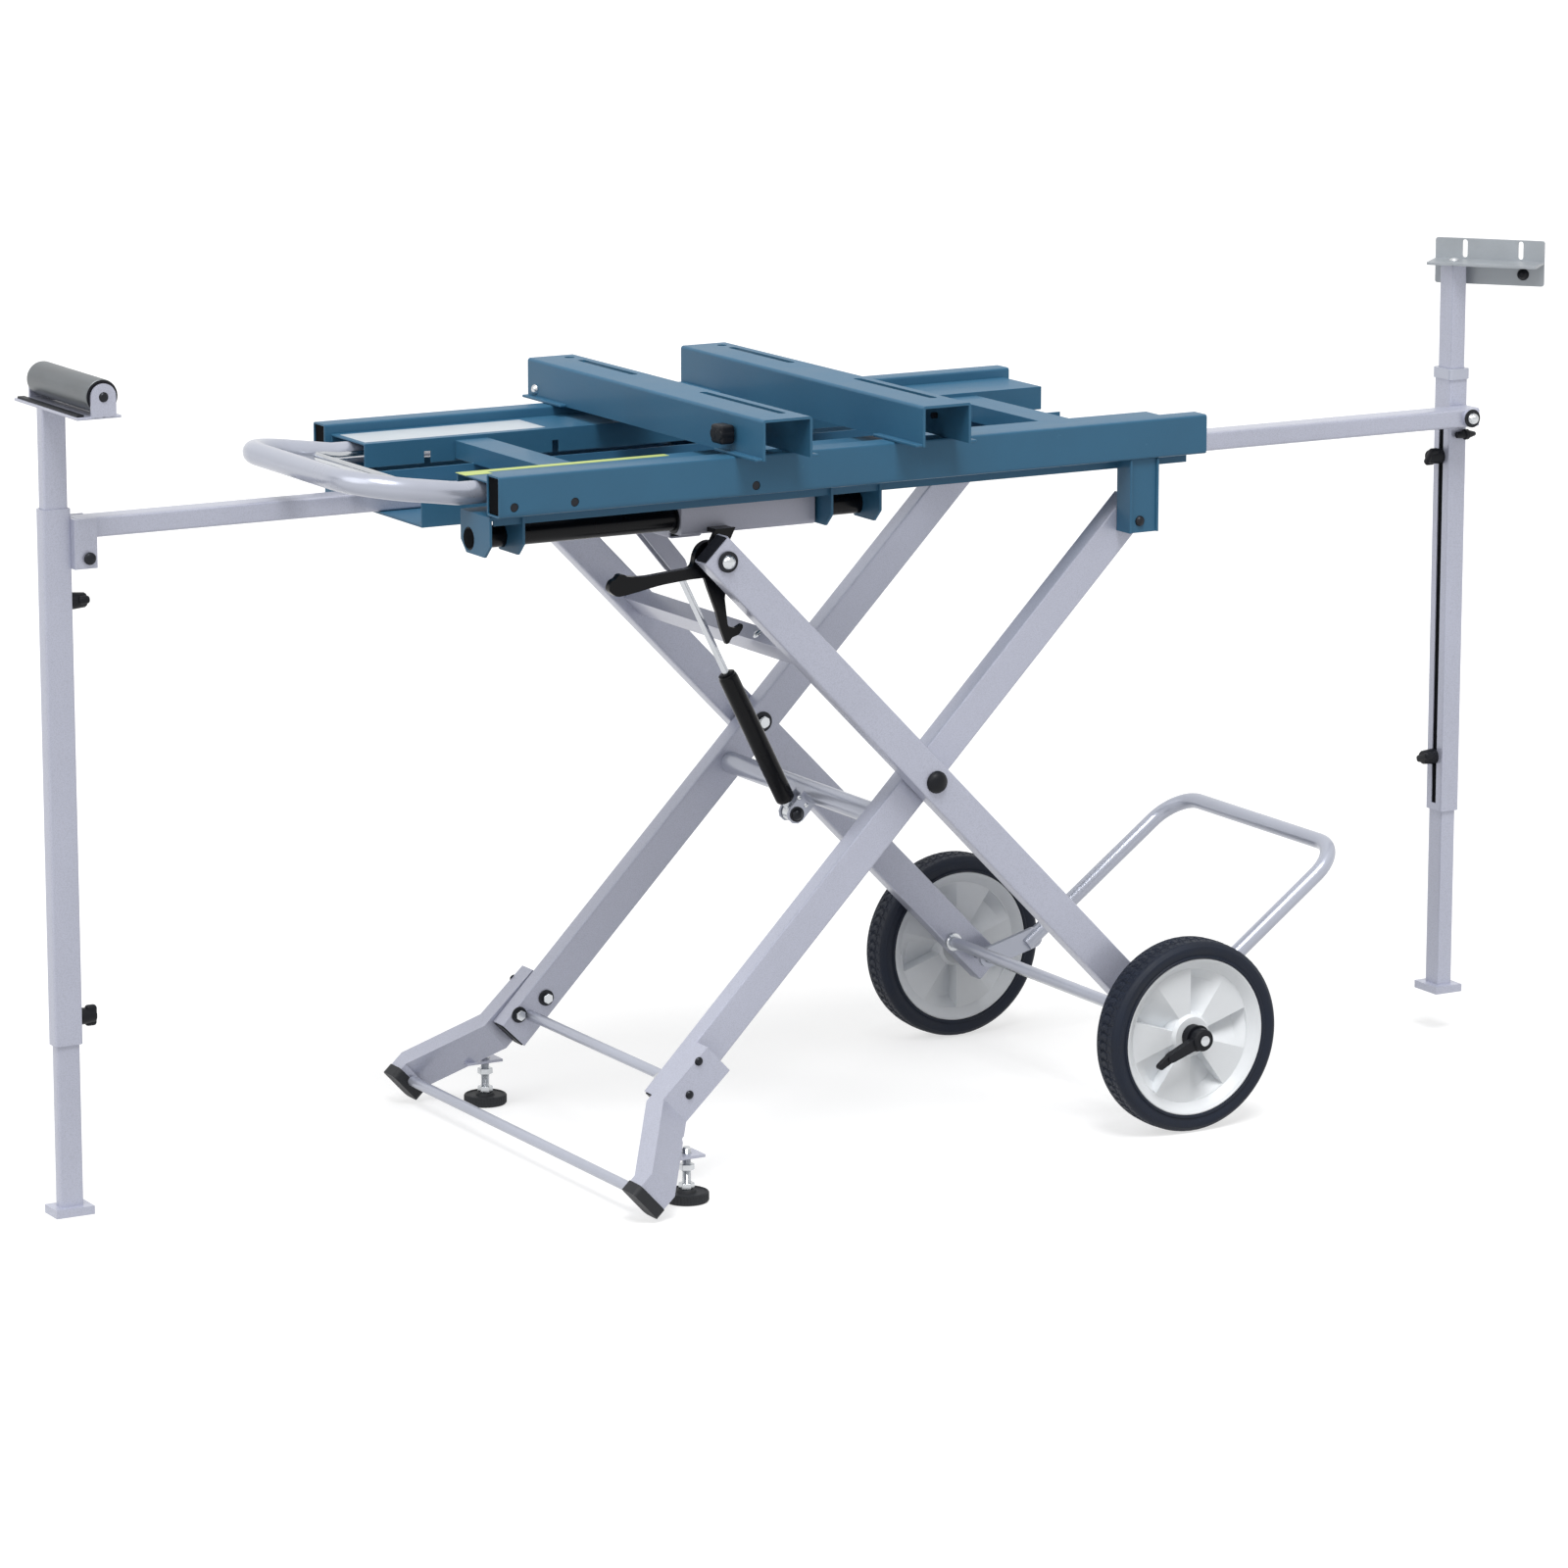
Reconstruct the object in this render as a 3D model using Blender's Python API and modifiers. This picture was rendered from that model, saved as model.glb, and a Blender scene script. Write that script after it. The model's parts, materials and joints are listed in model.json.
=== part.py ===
# Folding miter saw stand: a scissor-legged trolley with a sliding carriage, two saw
# brackets, and two extension bars that each carry a post, one with a roller and one
# with a work stop. Metres, +Z up, the bars along X, the wheels at +X, floor at z = 0.
import math

import bmesh
import bpy
from mathutils import Matrix, Vector

# Clearances and overruns
GAP = 0.0003  # between touching pieces
BORE_GAP = 0.0004  # round a pin in its hole
SLIDE_GAP = 0.0005  # round a tube that slides in another
WELD = 0.001  # how far a welded piece sinks into the one that carries it
OVERRUN = 0.01  # how far a cutter runs past what it cuts
LIFT = 0.003  # the foot caps' clearance over the floor

# Facets
FINE_STEPS = 32
ROUND_STEPS = 16
SMALL_STEPS = 12
BEND_STEPS = 5

# The scissor
LEG_SLOPE_DEG = 45.6
LEG_REACH = 0.372  # centre pivot to each top pivot
AXLE_REACH = 0.4383  # centre pivot to the wheel axle
FOOT_REACH = 0.460  # centre pivot to the inner leg's lower end
LEG_DEPTH = 0.040
LEG_WIDTH = 0.025
TUBE_WALL = 0.002
TUBE_CORNER = 0.003
LEG_TOP_END = 0.018  # leg beyond its top pivot
LEG_AXLE_END = 0.026  # leg beyond the axle
LEG_SPACE = 0.003  # between the outer and the inner leg
PIVOT_RADIUS = 0.006

# The top frame
FRAME_WIDTH = 0.4427
FRAME_LEFT = 0.533
FRAME_RIGHT = 0.3437
RAIL_RISE = 0.069  # rail underside above the leg pivots
RAIL_HEIGHT = 0.0436
RAIL_WIDTH = 0.028
RAIL_TO_LEG = 0.0028  # rail's outer face beyond the outer leg's
SHEET = 0.002
PLATE = 0.003

# Wheels
WHEEL_RADIUS = 0.1093
WHEEL_WIDTH = 0.0416
WHEEL_SPACE = 0.0126  # between the outer leg and the tyre
AXLE_RADIUS = 0.006

# Finishes: colour, roughness, metallic
BLUE_PAINT = ((0.045, 0.125, 0.205), 0.38, 0.0)
SILVER_PAINT = ((0.46, 0.48, 0.56), 0.35, 0.3)
TAUPE_PAINT = ((0.32, 0.32, 0.36), 0.4, 0.2)
BLACK_PAINT = ((0.012, 0.013, 0.016), 0.35, 0.0)
BLACK_PLASTIC = ((0.012, 0.013, 0.017), 0.5, 0.0)
GREY_PLASTIC = ((0.58, 0.61, 0.63), 0.45, 0.0)
RUBBER = ((0.013, 0.017, 0.024), 0.75, 0.0)
STEEL = ((0.6, 0.6, 0.62), 0.3, 1.0)
ZINC = ((0.45, 0.47, 0.47), 0.45, 0.9)

NEAR_AND_FAR = (("near", -1), ("far", 1))
X_AXIS = Vector((1, 0, 0))
Y_AXIS = Vector((0, 1, 0))
Z_AXIS = Vector((0, 0, 1))

for old in list(bpy.data.objects):
    bpy.data.objects.remove(old, do_unlink=True)
stand = bpy.data.collections.new("miter_saw_stand")
tools = bpy.data.collections.new("cutters")
bpy.context.scene.collection.children.link(stand)
bpy.context.scene.collection.children.link(tools)


# Placing and finishing

def pivot(name, at, on=None):
    """An empty on a joint's axis, which carries the pieces that move about it."""
    empty = bpy.data.objects.new(name, None)
    stand.objects.link(empty)
    empty.parent = on
    empty["at"] = tuple(at)
    empty.location = Vector(at) - (Vector(on["at"]) if on else Vector())
    return empty


def finish(obj, look):
    color, roughness, metallic = look
    material = bpy.data.materials.new(obj.name + "_finish")
    material.use_nodes = True
    shader = material.node_tree.nodes["Principled BSDF"]
    shader.inputs["Base Color"].default_value = (*color, 1)
    shader.inputs["Roughness"].default_value = roughness
    shader.inputs["Metallic"].default_value = metallic
    obj.data.materials.append(material)


def settle(obj, frame, look, on):
    """Places a made piece by its world frame under its pivot, or as a hidden cutter."""
    obj.parent = on
    obj.matrix_basis = Matrix.Translation(-Vector(on["at"])) @ frame
    if look is None:
        tools.objects.link(obj)
        obj.hide_render = True
        obj.display_type = "WIRE"
    else:
        stand.objects.link(obj)
        finish(obj, look)
    return obj


def as_mesh(curve):
    """The curve's surface as a closed mesh, its caps welded on."""
    helper = bpy.data.objects.new(curve.name, curve)
    bpy.context.scene.collection.objects.link(helper)
    graph = bpy.context.evaluated_depsgraph_get()
    mesh = bpy.data.meshes.new_from_object(helper.evaluated_get(graph))
    bpy.data.objects.remove(helper)
    shape = bmesh.new()
    shape.from_mesh(mesh)
    bmesh.ops.remove_doubles(shape, verts=shape.verts, dist=GAP / 10)
    bmesh.ops.recalc_face_normals(shape, faces=shape.faces)
    shape.to_mesh(mesh)
    shape.free()
    mesh.materials.clear()
    return mesh


def smooth(mesh, angle=math.radians(35)):
    mesh.shade_smooth()
    mesh.set_sharp_from_angle(angle=angle)


# Shapes

def extrusion(name, loops, start, end, up, look, on):
    """A straight section from start to end. In the loops, u is up x along and v is up."""
    start, end = Vector(start), Vector(end)
    along = (end - start).normalized()
    side = up.cross(along).normalized()
    curve = bpy.data.curves.new(name, "CURVE")
    curve.dimensions = "2D"
    curve.fill_mode = "BOTH"
    curve.extrude = (end - start).length / 2
    for loop in loops:
        spline = curve.splines.new("POLY")
        spline.points.add(len(loop) - 1)
        for point, (u, v) in zip(spline.points, loop):
            point.co = (u, v, 0, 1)
        spline.use_cyclic_u = True
    mesh = as_mesh(curve)
    smooth(mesh)
    frame = Matrix((side, up, along)).transposed().to_4x4()
    frame.translation = (start + end) / 2
    return settle(bpy.data.objects.new(name, mesh), frame, look, on)


def turned(name, profile, at, axis, look, on, steps=ROUND_STEPS):
    """A profile of (radius, height), top to bottom down its outer side, turned about the axis."""
    mesh = bpy.data.meshes.new(name)
    closed = profile[0][0] > 0
    count = len(profile)
    edges = [(i, i + 1) for i in range(count - 1)] + ([(count - 1, 0)] if closed else [])
    mesh.from_pydata([(r, 0, z) for r, z in profile], edges, [])
    obj = bpy.data.objects.new(name, mesh)
    screw = obj.modifiers.new("turn", "SCREW")
    screw.axis = "Z"
    screw.steps = steps
    screw.render_steps = steps
    screw.use_merge_vertices = True
    screw.merge_threshold = GAP / 10
    frame = Z_AXIS.rotation_difference(Vector(axis)).to_matrix().to_4x4()
    frame.translation = Vector(at)
    return settle(obj, frame, look, on)


def cut(obj, *cutters):
    for cutter in cutters:
        change = obj.modifiers.new(cutter.name, "BOOLEAN")
        change.operation = "DIFFERENCE"
        change.object = cutter
    return obj


def weld(obj, *pieces):
    for piece in pieces:
        change = obj.modifiers.new(piece.name, "BOOLEAN")
        change.operation = "UNION"
        change.object = piece
    return obj


# Sections

def oblong(width, height, u=0.0, v=0.0):
    """A rectangle about (u, v)."""
    w, h = width / 2, height / 2
    return [(u - w, v - h), (u + w, v - h), (u + w, v + h), (u - w, v + h)]


def span(u0, u1, v0, v1):
    return [(u0, v0), (u1, v0), (u1, v1), (u0, v1)]


def ring(radius, steps=ROUND_STEPS, u=0.0, v=0.0):
    turns = [2 * math.pi * (i + 0.5) / steps for i in range(steps)]
    return [(u + radius * math.cos(a), v + radius * math.sin(a)) for a in turns]


def softened(width, height, radius, u=0.0, v=0.0, steps=2):
    """A rectangle with rounded corners."""
    points = []
    for quarter, (a, b) in enumerate(((1, 1), (-1, 1), (-1, -1), (1, -1))):
        for i in range(steps + 1):
            turn = math.pi / 2 * (quarter + i / steps)
            points.append((u + a * (width / 2 - radius) + radius * math.cos(turn),
                           v + b * (height / 2 - radius) + radius * math.sin(turn)))
    return points


def hollow(width, height):
    """A rectangular tube's two outlines."""
    return [softened(width, height, TUBE_CORNER),
            softened(width - 2 * TUBE_WALL, height - 2 * TUBE_WALL, TUBE_CORNER - TUBE_WALL)]


def mirrored(points, sign):
    """A section flipped in u for the near side."""
    return [(sign * u, v) for u, v in points]


def rod(name, radius, start, end, look, on, steps=ROUND_STEPS, wall=None):
    loops = [ring(radius, steps)] + ([ring(radius - wall, steps)] if wall else [])
    along = (Vector(end) - Vector(start)).normalized()
    up = Y_AXIS if abs(along.y) < 0.5 else Z_AXIS
    return extrusion(name, loops, start, end, up, look, on)


def block(name, low, high, look, on):
    """A box between two corners."""
    (x0, y0, z0), (x1, y1, z1) = low, high
    return extrusion(name, [span(y0, y1, z0, z1)], (x0, 0, 0), (x1, 0, 0), Z_AXIS, look, on)


def plate(name, loops, y0, y1, look, on):
    """A flat outline of (x, z) points between two depths."""
    low, high = sorted((y0, y1))
    return extrusion(name, loops, (0, high, 0), (0, low, 0), Z_AXIS, look, on)


def cross_hole(name, x, z, radius, y0, y1, on, steps=SMALL_STEPS):
    return rod(name, radius, (x, y0, z), (x, y1, z), None, on, steps)


def outline_bar(x0, z0, x1, z1, half, ends=5):
    """A round-ended bar's outline between two points of the (x, z) plane."""
    heading = math.atan2(z1 - z0, x1 - x0)
    points = []
    for cx, cz, first in ((x1, z1, heading - math.pi / 2), (x0, z0, heading + math.pi / 2)):
        for i in range(ends + 1):
            turn = first + math.pi * i / ends
            points.append((cx + half * math.cos(turn), cz + half * math.sin(turn)))
    return points


def rounded_route(corners, radius, steps=BEND_STEPS):
    """The corners as a route with its turns drawn as arcs."""
    route = [Vector(corners[0])]
    for before, here, after in zip(corners, corners[1:], corners[2:]):
        here = Vector(here)
        back = (Vector(before) - here).normalized()
        on_way = (Vector(after) - here).normalized()
        half = back.angle(on_way) / 2
        middle = here + (back + on_way).normalized() * radius / math.sin(half)
        first = here + back * radius / math.tan(half) - middle
        last = here + on_way * radius / math.tan(half) - middle
        route += [middle + arc_point(first, last, i / steps) for i in range(steps + 1)]
    return route + [Vector(corners[-1])]


def arc_point(first, last, share):
    turn = first.rotation_difference(last)
    part = turn.copy()
    part.angle = turn.angle * share
    return part @ first


def bent_tube(name, route, radius, look, on, wall=None):
    """A round bar along a route, or a tube open at both ends."""
    curve = bpy.data.curves.new(name, "CURVE")
    curve.dimensions = "3D"
    curve.bevel_depth = radius
    curve.bevel_resolution = 2
    curve.use_fill_caps = wall is None
    spline = curve.splines.new("POLY")
    spline.points.add(len(route) - 1)
    for point, place in zip(spline.points, route):
        point.co = (*place, 1)
    mesh = as_mesh(curve)
    smooth(mesh)
    tube = settle(bpy.data.objects.new(name, mesh), Matrix(), look, on)
    if wall:
        shell = tube.modifiers.new("wall", "SOLIDIFY")
        shell.thickness = wall
        shell.offset = -1
    return tube


# Places that the pieces share

slope = math.radians(LEG_SLOPE_DEG)
down_right = Vector((math.cos(slope), 0, -math.sin(slope)))  # along the outer leg, downwards
up_right = Vector((math.cos(slope), 0, math.sin(slope)))  # along the inner leg, upwards
centre = Vector((0, 0, WHEEL_RADIUS + AXLE_REACH * math.sin(slope)))
outer_top = centre - down_right * LEG_REACH
inner_top = centre + up_right * LEG_REACH
axle = centre + down_right * AXLE_REACH

half_frame = FRAME_WIDTH / 2
outer_leg_face = half_frame - RAIL_TO_LEG
outer_leg_y = outer_leg_face - LEG_WIDTH / 2
inner_leg_y = outer_leg_y - LEG_WIDTH - LEG_SPACE
inner_leg_out = inner_leg_y + LEG_WIDTH / 2
inner_leg_in = inner_leg_y - LEG_WIDTH / 2
outer_leg_in = outer_leg_y - LEG_WIDTH / 2

rail_base = inner_top.z + RAIL_RISE
rail_top = rail_base + RAIL_HEIGHT
rail_in = half_frame - RAIL_WIDTH

# The bars and the channel that carries them
BAR_WIDTH = 0.030
BAR_HEIGHT = 0.0215
BAR_Y = 0.0466
BAR_DROP = 0.0063  # bar top below the rail's underside
BAR_LEFT_REACH = 0.8975
BAR_RIGHT_REACH = 0.8285
BAR_LEFT_INNER = 0.150
BAR_RIGHT_INNER = -0.350
bar_top = rail_base - BAR_DROP
bar_base = bar_top - BAR_HEIGHT
bar_z = (bar_top + bar_base) / 2

# The frame's rods, on which the carriage slides
ROD_RADIUS = 0.012
ROD_IN = 0.07235  # rod's middle line inside the frame's outer face
ROD_DROP = 0.0311  # rod centre below the rail's underside
rod_z = rail_base - ROD_DROP
rod_y = half_frame - ROD_IN

# The left post leans its bar on a lug below the bar, and the right post stands beside its bar
LEFT_POST_OUT = 0.0200  # post's middle beyond the bar's end
LEFT_POST_SIZE = (0.032, 0.020)
LEFT_PIVOT_IN = 0.0112  # pivot before the bar's end
LEFT_PIVOT_DROP = 0.0205  # pivot below the bar's underside
RIGHT_POST_SIZE = (0.025, 0.032)
RIGHT_POST_IN = 0.0078  # post's middle before the bar's end
RIGHT_PIVOT_IN = 0.0134
FOOT_PAD_MARGIN = 0.006
HEAD_TURN_DEG = -48.7
HEAD_LENGTH = 0.129
HEAD_SHIFT = 0.038  # the stop head's middle past its post
SHELF_BACK = 0.020
left_post_x = -BAR_LEFT_REACH - LEFT_POST_OUT
left_pivot_x = LEFT_PIVOT_IN - BAR_LEFT_REACH
right_post_x = BAR_RIGHT_REACH - RIGHT_POST_IN
right_pivot_x = BAR_RIGHT_REACH - RIGHT_PIVOT_IN
left_post_y = BAR_Y
right_post_y = -BAR_Y + BAR_WIDTH / 2 + SLIDE_GAP + RIGHT_POST_SIZE[1] / 2

# The whole stand is centred on its length: the left foot pad and the stop head are its ends
stand_left = left_post_x - LEFT_POST_SIZE[0] / 2 - FOOT_PAD_MARGIN
head_turn = math.radians(HEAD_TURN_DEG)
head_way = Vector((math.cos(head_turn), math.sin(head_turn), 0))
head_back = Vector((-head_way.y, head_way.x, 0))
head_tip = head_way * (HEAD_SHIFT + HEAD_LENGTH / 2) + head_back * (SHELF_BACK + PLATE)
stand_right = right_post_x + head_tip.x
origin = bpy.data.objects.new("stand", None)
stand.objects.link(origin)
origin.location = (-(stand_left + stand_right) / 2, 0, 0)
origin["at"] = (0, 0, 0)

# Pivots, each on its joint's axis at rest
fold_axis = pivot("fold_axis", centre, origin)
frame_axis = pivot("frame_axis", inner_top, origin)
carriage_axis = pivot("carriage_axis", outer_top, fold_axis)
wheel_axis = pivot("wheel_axis", axle, fold_axis)
left_bar_slide = pivot("left_bar_slide", (left_pivot_x, BAR_Y, bar_z), frame_axis)
right_bar_slide = pivot("right_bar_slide", (right_pivot_x, -BAR_Y, bar_z), frame_axis)
left_pivot = Vector((left_pivot_x, left_post_y, bar_base - LEFT_PIVOT_DROP))
left_post_axis = pivot("left_post_axis", left_pivot, left_bar_slide)
right_pivot = Vector((right_pivot_x, right_post_y, bar_z))
right_post_axis = pivot("right_post_axis", right_pivot, right_bar_slide)


# The inner legs, which stand still when the stand folds

def leg(name, y, direction, low, high, on):
    """A rectangular tube along the (x, z) direction, from low to high of the centre pivot."""
    start = centre + direction * low
    end = centre + direction * high
    start.y = end.y = y
    return extrusion(name, hollow(LEG_DEPTH, LEG_WIDTH), start, end,
                     Y_AXIS, SILVER_PAINT, on)


def leg_bore(name, place, y, on, radius=PIVOT_RADIUS + BORE_GAP):
    across = LEG_WIDTH / 2 + OVERRUN
    return cross_hole(name, place.x, place.z, radius, y - across, y + across, on)


HANGER_PIN_RADIUS = 0.005
for side, sign in NEAR_AND_FAR:
    inner_leg = leg(f"inner_leg_{side}", sign * inner_leg_y, up_right, -FOOT_REACH,
                    LEG_REACH + LEG_TOP_END, origin)
    cut(inner_leg,
        leg_bore(f"inner_leg_bore_{side}", centre, sign * inner_leg_y, origin),
        leg_bore(f"inner_leg_top_bore_{side}", inner_top, sign * inner_leg_y, origin,
                 HANGER_PIN_RADIUS + BORE_GAP))

# The round tube between the inner legs, with the gas spring's two bracket plates
CROSS_TUBE_RADIUS = 0.0125
CROSS_TUBE_REACH = 0.060
SPRING_Y = -0.013
SPRING_PLATE_SPACE = 0.016
SPRING_PIN_RADIUS = 0.004
BRACKET_HALF = 0.011
SPRING_FOOT_SHIFT = Vector((-0.0220, 0, -0.0226))  # from the cross tube
SPRING_HEAD_SHIFT = Vector((0.0489, 0, -0.0382))  # from the carriage's pivot
cross_centre = centre - up_right * CROSS_TUBE_REACH
SPRING_FOOT = cross_centre + SPRING_FOOT_SHIFT
SPRING_HEAD = outer_top + SPRING_HEAD_SHIFT
cross_half = inner_leg_in - GAP
inner_cross_tube = rod("inner_cross_tube", CROSS_TUBE_RADIUS, (cross_centre.x, cross_half, cross_centre.z),
                       (cross_centre.x, -cross_half, cross_centre.z), SILVER_PAINT, origin,
                       wall=TUBE_WALL)
for side, sign in NEAR_AND_FAR:
    inner_y = SPRING_Y + sign * SPRING_PLATE_SPACE / 2
    weld(inner_cross_tube,
         plate(f"spring_bracket_{side}",
               [outline_bar(cross_centre.x, cross_centre.z, SPRING_FOOT.x, SPRING_FOOT.z,
                            BRACKET_HALF)],
               inner_y, inner_y + sign * PLATE, None, origin))
pin_half = SPRING_PLATE_SPACE / 2 + PLATE - WELD
weld(inner_cross_tube,
     rod("spring_foot_pin", SPRING_PIN_RADIUS, (SPRING_FOOT.x, SPRING_Y + pin_half, SPRING_FOOT.z),
         (SPRING_FOOT.x, SPRING_Y - pin_half, SPRING_FOOT.z), None, origin, SMALL_STEPS))

# The feet: flat tubes bolted outside the inner legs, bent outwards, with capped ends
FOOT_OVERLAP = 0.073  # foot's top end before the inner leg's end
FOOT_SLOPE_DEG = 43.0
FOOT_FIRST_BEND = 0.079
FOOT_SECOND_BEND = 0.160
FOOT_SPREAD = 0.082  # sideways between the bends
CAP_WALL = 0.002
CAP_DEPTH = 0.012
CAP_END = 0.008
foot_slope = math.radians(FOOT_SLOPE_DEG)
foot_way = Vector((-math.cos(foot_slope), 0, -math.sin(foot_slope)))
foot_up = Vector((-math.sin(foot_slope), 0, math.cos(foot_slope)))
foot_top = centre - up_right * (FOOT_REACH - FOOT_OVERLAP)
foot_y = inner_leg_out + GAP + LEG_WIDTH / 2
cap_half = LEG_DEPTH / 2 + GAP + CAP_WALL
cap_low = LIFT + cap_half * math.cos(foot_slope)
foot_run = (foot_top.z - cap_low) / math.sin(foot_slope) - CAP_END


def strip(points, width):
    """The outline of a strip along the points, square at its ends."""
    sides = ([], [])
    for i, here in enumerate(points):
        ways = [(b - a).normalized() for a, b in zip(points[max(i - 1, 0):i + 1],
                                                     points[max(i - 1, 0) + 1:i + 2])]
        normal = sum((Vector((-way.y, way.x)) for way in ways), Vector((0, 0))).normalized()
        reach = width / 2 / normal.dot(Vector((-ways[0].y, ways[0].x)))
        sides[0].append(tuple(here + normal * reach))
        sides[1].append(tuple(here - normal * reach))
    return sides[0] + sides[1][::-1]


def foot_strip(name, sign, width, depth, past, look):
    """The bent foot, drawn in the plane of its run (u) and the stand's width (v)."""
    course = [Vector((-past, foot_y)), Vector((FOOT_FIRST_BEND, foot_y)),
              Vector((FOOT_SECOND_BEND, foot_y + FOOT_SPREAD)),
              Vector((foot_run + past, foot_y + FOOT_SPREAD))]
    loop = [(-u, sign * v) for u, v in strip(course, width)]
    start = foot_top - foot_up * depth / 2
    return extrusion(name, [loop], start, start + foot_up * depth, Y_AXIS, look, origin)


LEVELLER_OUT = 0.0219  # stud in front of the foot's lower face
LEVELLER_IN = 0.0073  # stud inside the foot's middle line
STUD_RADIUS = 0.005
LEVELLER_PLATE_Z = 0.050
LEVELLER_PLATE_HALF = 0.015
LEVELLER_TRAVEL = 0.008
FOOT_ROD_RADIUS = 0.006
LOWER_FOOT_ROD_BACK = 0.004  # lower rod before the foot's end
UPPER_FOOT_ROD_BACK = 0.030  # upper rod before the inner legs' end
lower_rod_at = foot_top + foot_way * (foot_run - LOWER_FOOT_ROD_BACK)
upper_rod_at = centre - up_right * (FOOT_REACH - UPPER_FOOT_ROD_BACK)
plate_run = (foot_top.z - LEVELLER_PLATE_Z - LEG_DEPTH / 2 * math.cos(foot_slope)) / math.sin(foot_slope)
plate_share = (plate_run - FOOT_FIRST_BEND) / (FOOT_SECOND_BEND - FOOT_FIRST_BEND)
plate_face = foot_top + foot_way * plate_run - foot_up * LEG_DEPTH / 2
leveller_x = plate_face.x + LEVELLER_OUT
leveller_y = foot_y + FOOT_SPREAD * plate_share - LEVELLER_IN
for side, sign in NEAR_AND_FAR:
    foot = foot_strip(f"foot_{side}", sign, LEG_WIDTH, LEG_DEPTH, 0, SILVER_PAINT)
    cut(foot, foot_strip(f"foot_bore_{side}", sign, LEG_WIDTH - 2 * TUBE_WALL,
                         LEG_DEPTH - 2 * TUBE_WALL, OVERRUN, None))
    lug_y = sign * leveller_y
    lug_left = leveller_x - 2 * LEVELLER_PLATE_HALF
    weld(foot, block(f"leveller_plate_{side}",
                     (lug_left, lug_y - LEVELLER_PLATE_HALF, LEVELLER_PLATE_Z),
                     (leveller_x + LEVELLER_PLATE_HALF, lug_y + LEVELLER_PLATE_HALF,
                      LEVELLER_PLATE_Z + PLATE), None, origin))
    cut(foot, rod(f"leveller_hole_{side}", STUD_RADIUS + BORE_GAP, (leveller_x, lug_y, 0),
                  (leveller_x, lug_y, LEVELLER_PLATE_Z + 2 * OVERRUN), None, origin, SMALL_STEPS))
    cap_start = foot_top + foot_way * (foot_run - CAP_DEPTH)
    cap_y = Vector((0, sign * (foot_y + FOOT_SPREAD), 0))
    cap_tip = cap_start + foot_way * (CAP_DEPTH + CAP_END)
    cap = extrusion(f"foot_cap_{side}",
                    [softened(2 * cap_half, LEG_WIDTH + 2 * (GAP + CAP_WALL), TUBE_WALL * 2)],
                    cap_start + cap_y, cap_tip + cap_y, Y_AXIS, BLACK_PLASTIC, origin)
    cut(cap, extrusion(f"foot_cap_socket_{side}", [oblong(LEG_DEPTH + 2 * GAP, LEG_WIDTH + 2 * GAP)],
                       cap_start + cap_y - foot_way * OVERRUN,
                       cap_start + cap_y + foot_way * (CAP_DEPTH + GAP), Y_AXIS, None, origin))

lower_rod_half = foot_y + FOOT_SPREAD - LEG_WIDTH / 2 - CAP_WALL - 2 * GAP
rod("foot_rod_lower", FOOT_ROD_RADIUS, (lower_rod_at.x, lower_rod_half, lower_rod_at.z),
    (lower_rod_at.x, -lower_rod_half, lower_rod_at.z), SILVER_PAINT, origin, SMALL_STEPS, TUBE_WALL)
rod("foot_rod_upper", FOOT_ROD_RADIUS, (upper_rod_at.x, cross_half, upper_rod_at.z),
    (upper_rod_at.x, -cross_half, upper_rod_at.z), SILVER_PAINT, origin, SMALL_STEPS, TUBE_WALL)

# The levelling feet: a stud with two nuts on a round pad
PAD_RADIUS = 0.0245
PAD_RIM = 0.006
PAD_TOP = 0.013
NUT_RADIUS = 0.0088
NUT_HEIGHT = 0.007
STUD_OVER = 0.010  # stud above the bracket plate
stud_top = LEVELLER_PLATE_Z + STUD_OVER
nut_z = LEVELLER_PLATE_Z - LEVELLER_TRAVEL - GAP - NUT_HEIGHT
for side, sign in NEAR_AND_FAR:
    screw_axis = pivot(f"leveller_axis_{side}", (leveller_x, sign * leveller_y, 0), origin)
    turned(f"leveller_{side}",
           [(0, stud_top), (STUD_RADIUS, stud_top), (STUD_RADIUS, nut_z + NUT_HEIGHT),
            (NUT_RADIUS, nut_z + NUT_HEIGHT), (NUT_RADIUS, nut_z), (STUD_RADIUS, nut_z),
            (STUD_RADIUS, PAD_TOP + NUT_HEIGHT), (NUT_RADIUS, PAD_TOP + NUT_HEIGHT),
            (NUT_RADIUS, PAD_TOP), (PAD_RADIUS - PAD_RIM, PAD_TOP), (PAD_RADIUS, PAD_RIM),
            (PAD_RADIUS, 0), (0, 0)],
           (leveller_x, sign * leveller_y, 0), Z_AXIS, BLACK_PLASTIC, screw_axis)

# The centre pivot bolts, domed outside and headed inside
DOME_RADIUS = 0.0125
DOME_HEIGHT = 0.008
INNER_HEAD_RADIUS = 0.009
INNER_HEAD = 0.006
for side, sign in NEAR_AND_FAR:
    reach = outer_leg_face - inner_leg_in + 2 * GAP
    turned(f"pivot_bolt_{side}",
           [(0, DOME_HEIGHT), (DOME_RADIUS / 2, DOME_HEIGHT * 0.9), (DOME_RADIUS * 0.85, DOME_HEIGHT / 2),
            (DOME_RADIUS, DOME_HEIGHT / 8), (DOME_RADIUS, 0), (PIVOT_RADIUS, 0),
            (PIVOT_RADIUS, -reach), (INNER_HEAD_RADIUS, -reach),
            (INNER_HEAD_RADIUS, -reach - INNER_HEAD), (0, -reach - INNER_HEAD)],
           (centre.x, sign * (outer_leg_face + GAP), centre.z), Y_AXIS * sign, BLACK_PAINT, origin)


# The outer legs, which carry the wheels

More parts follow.
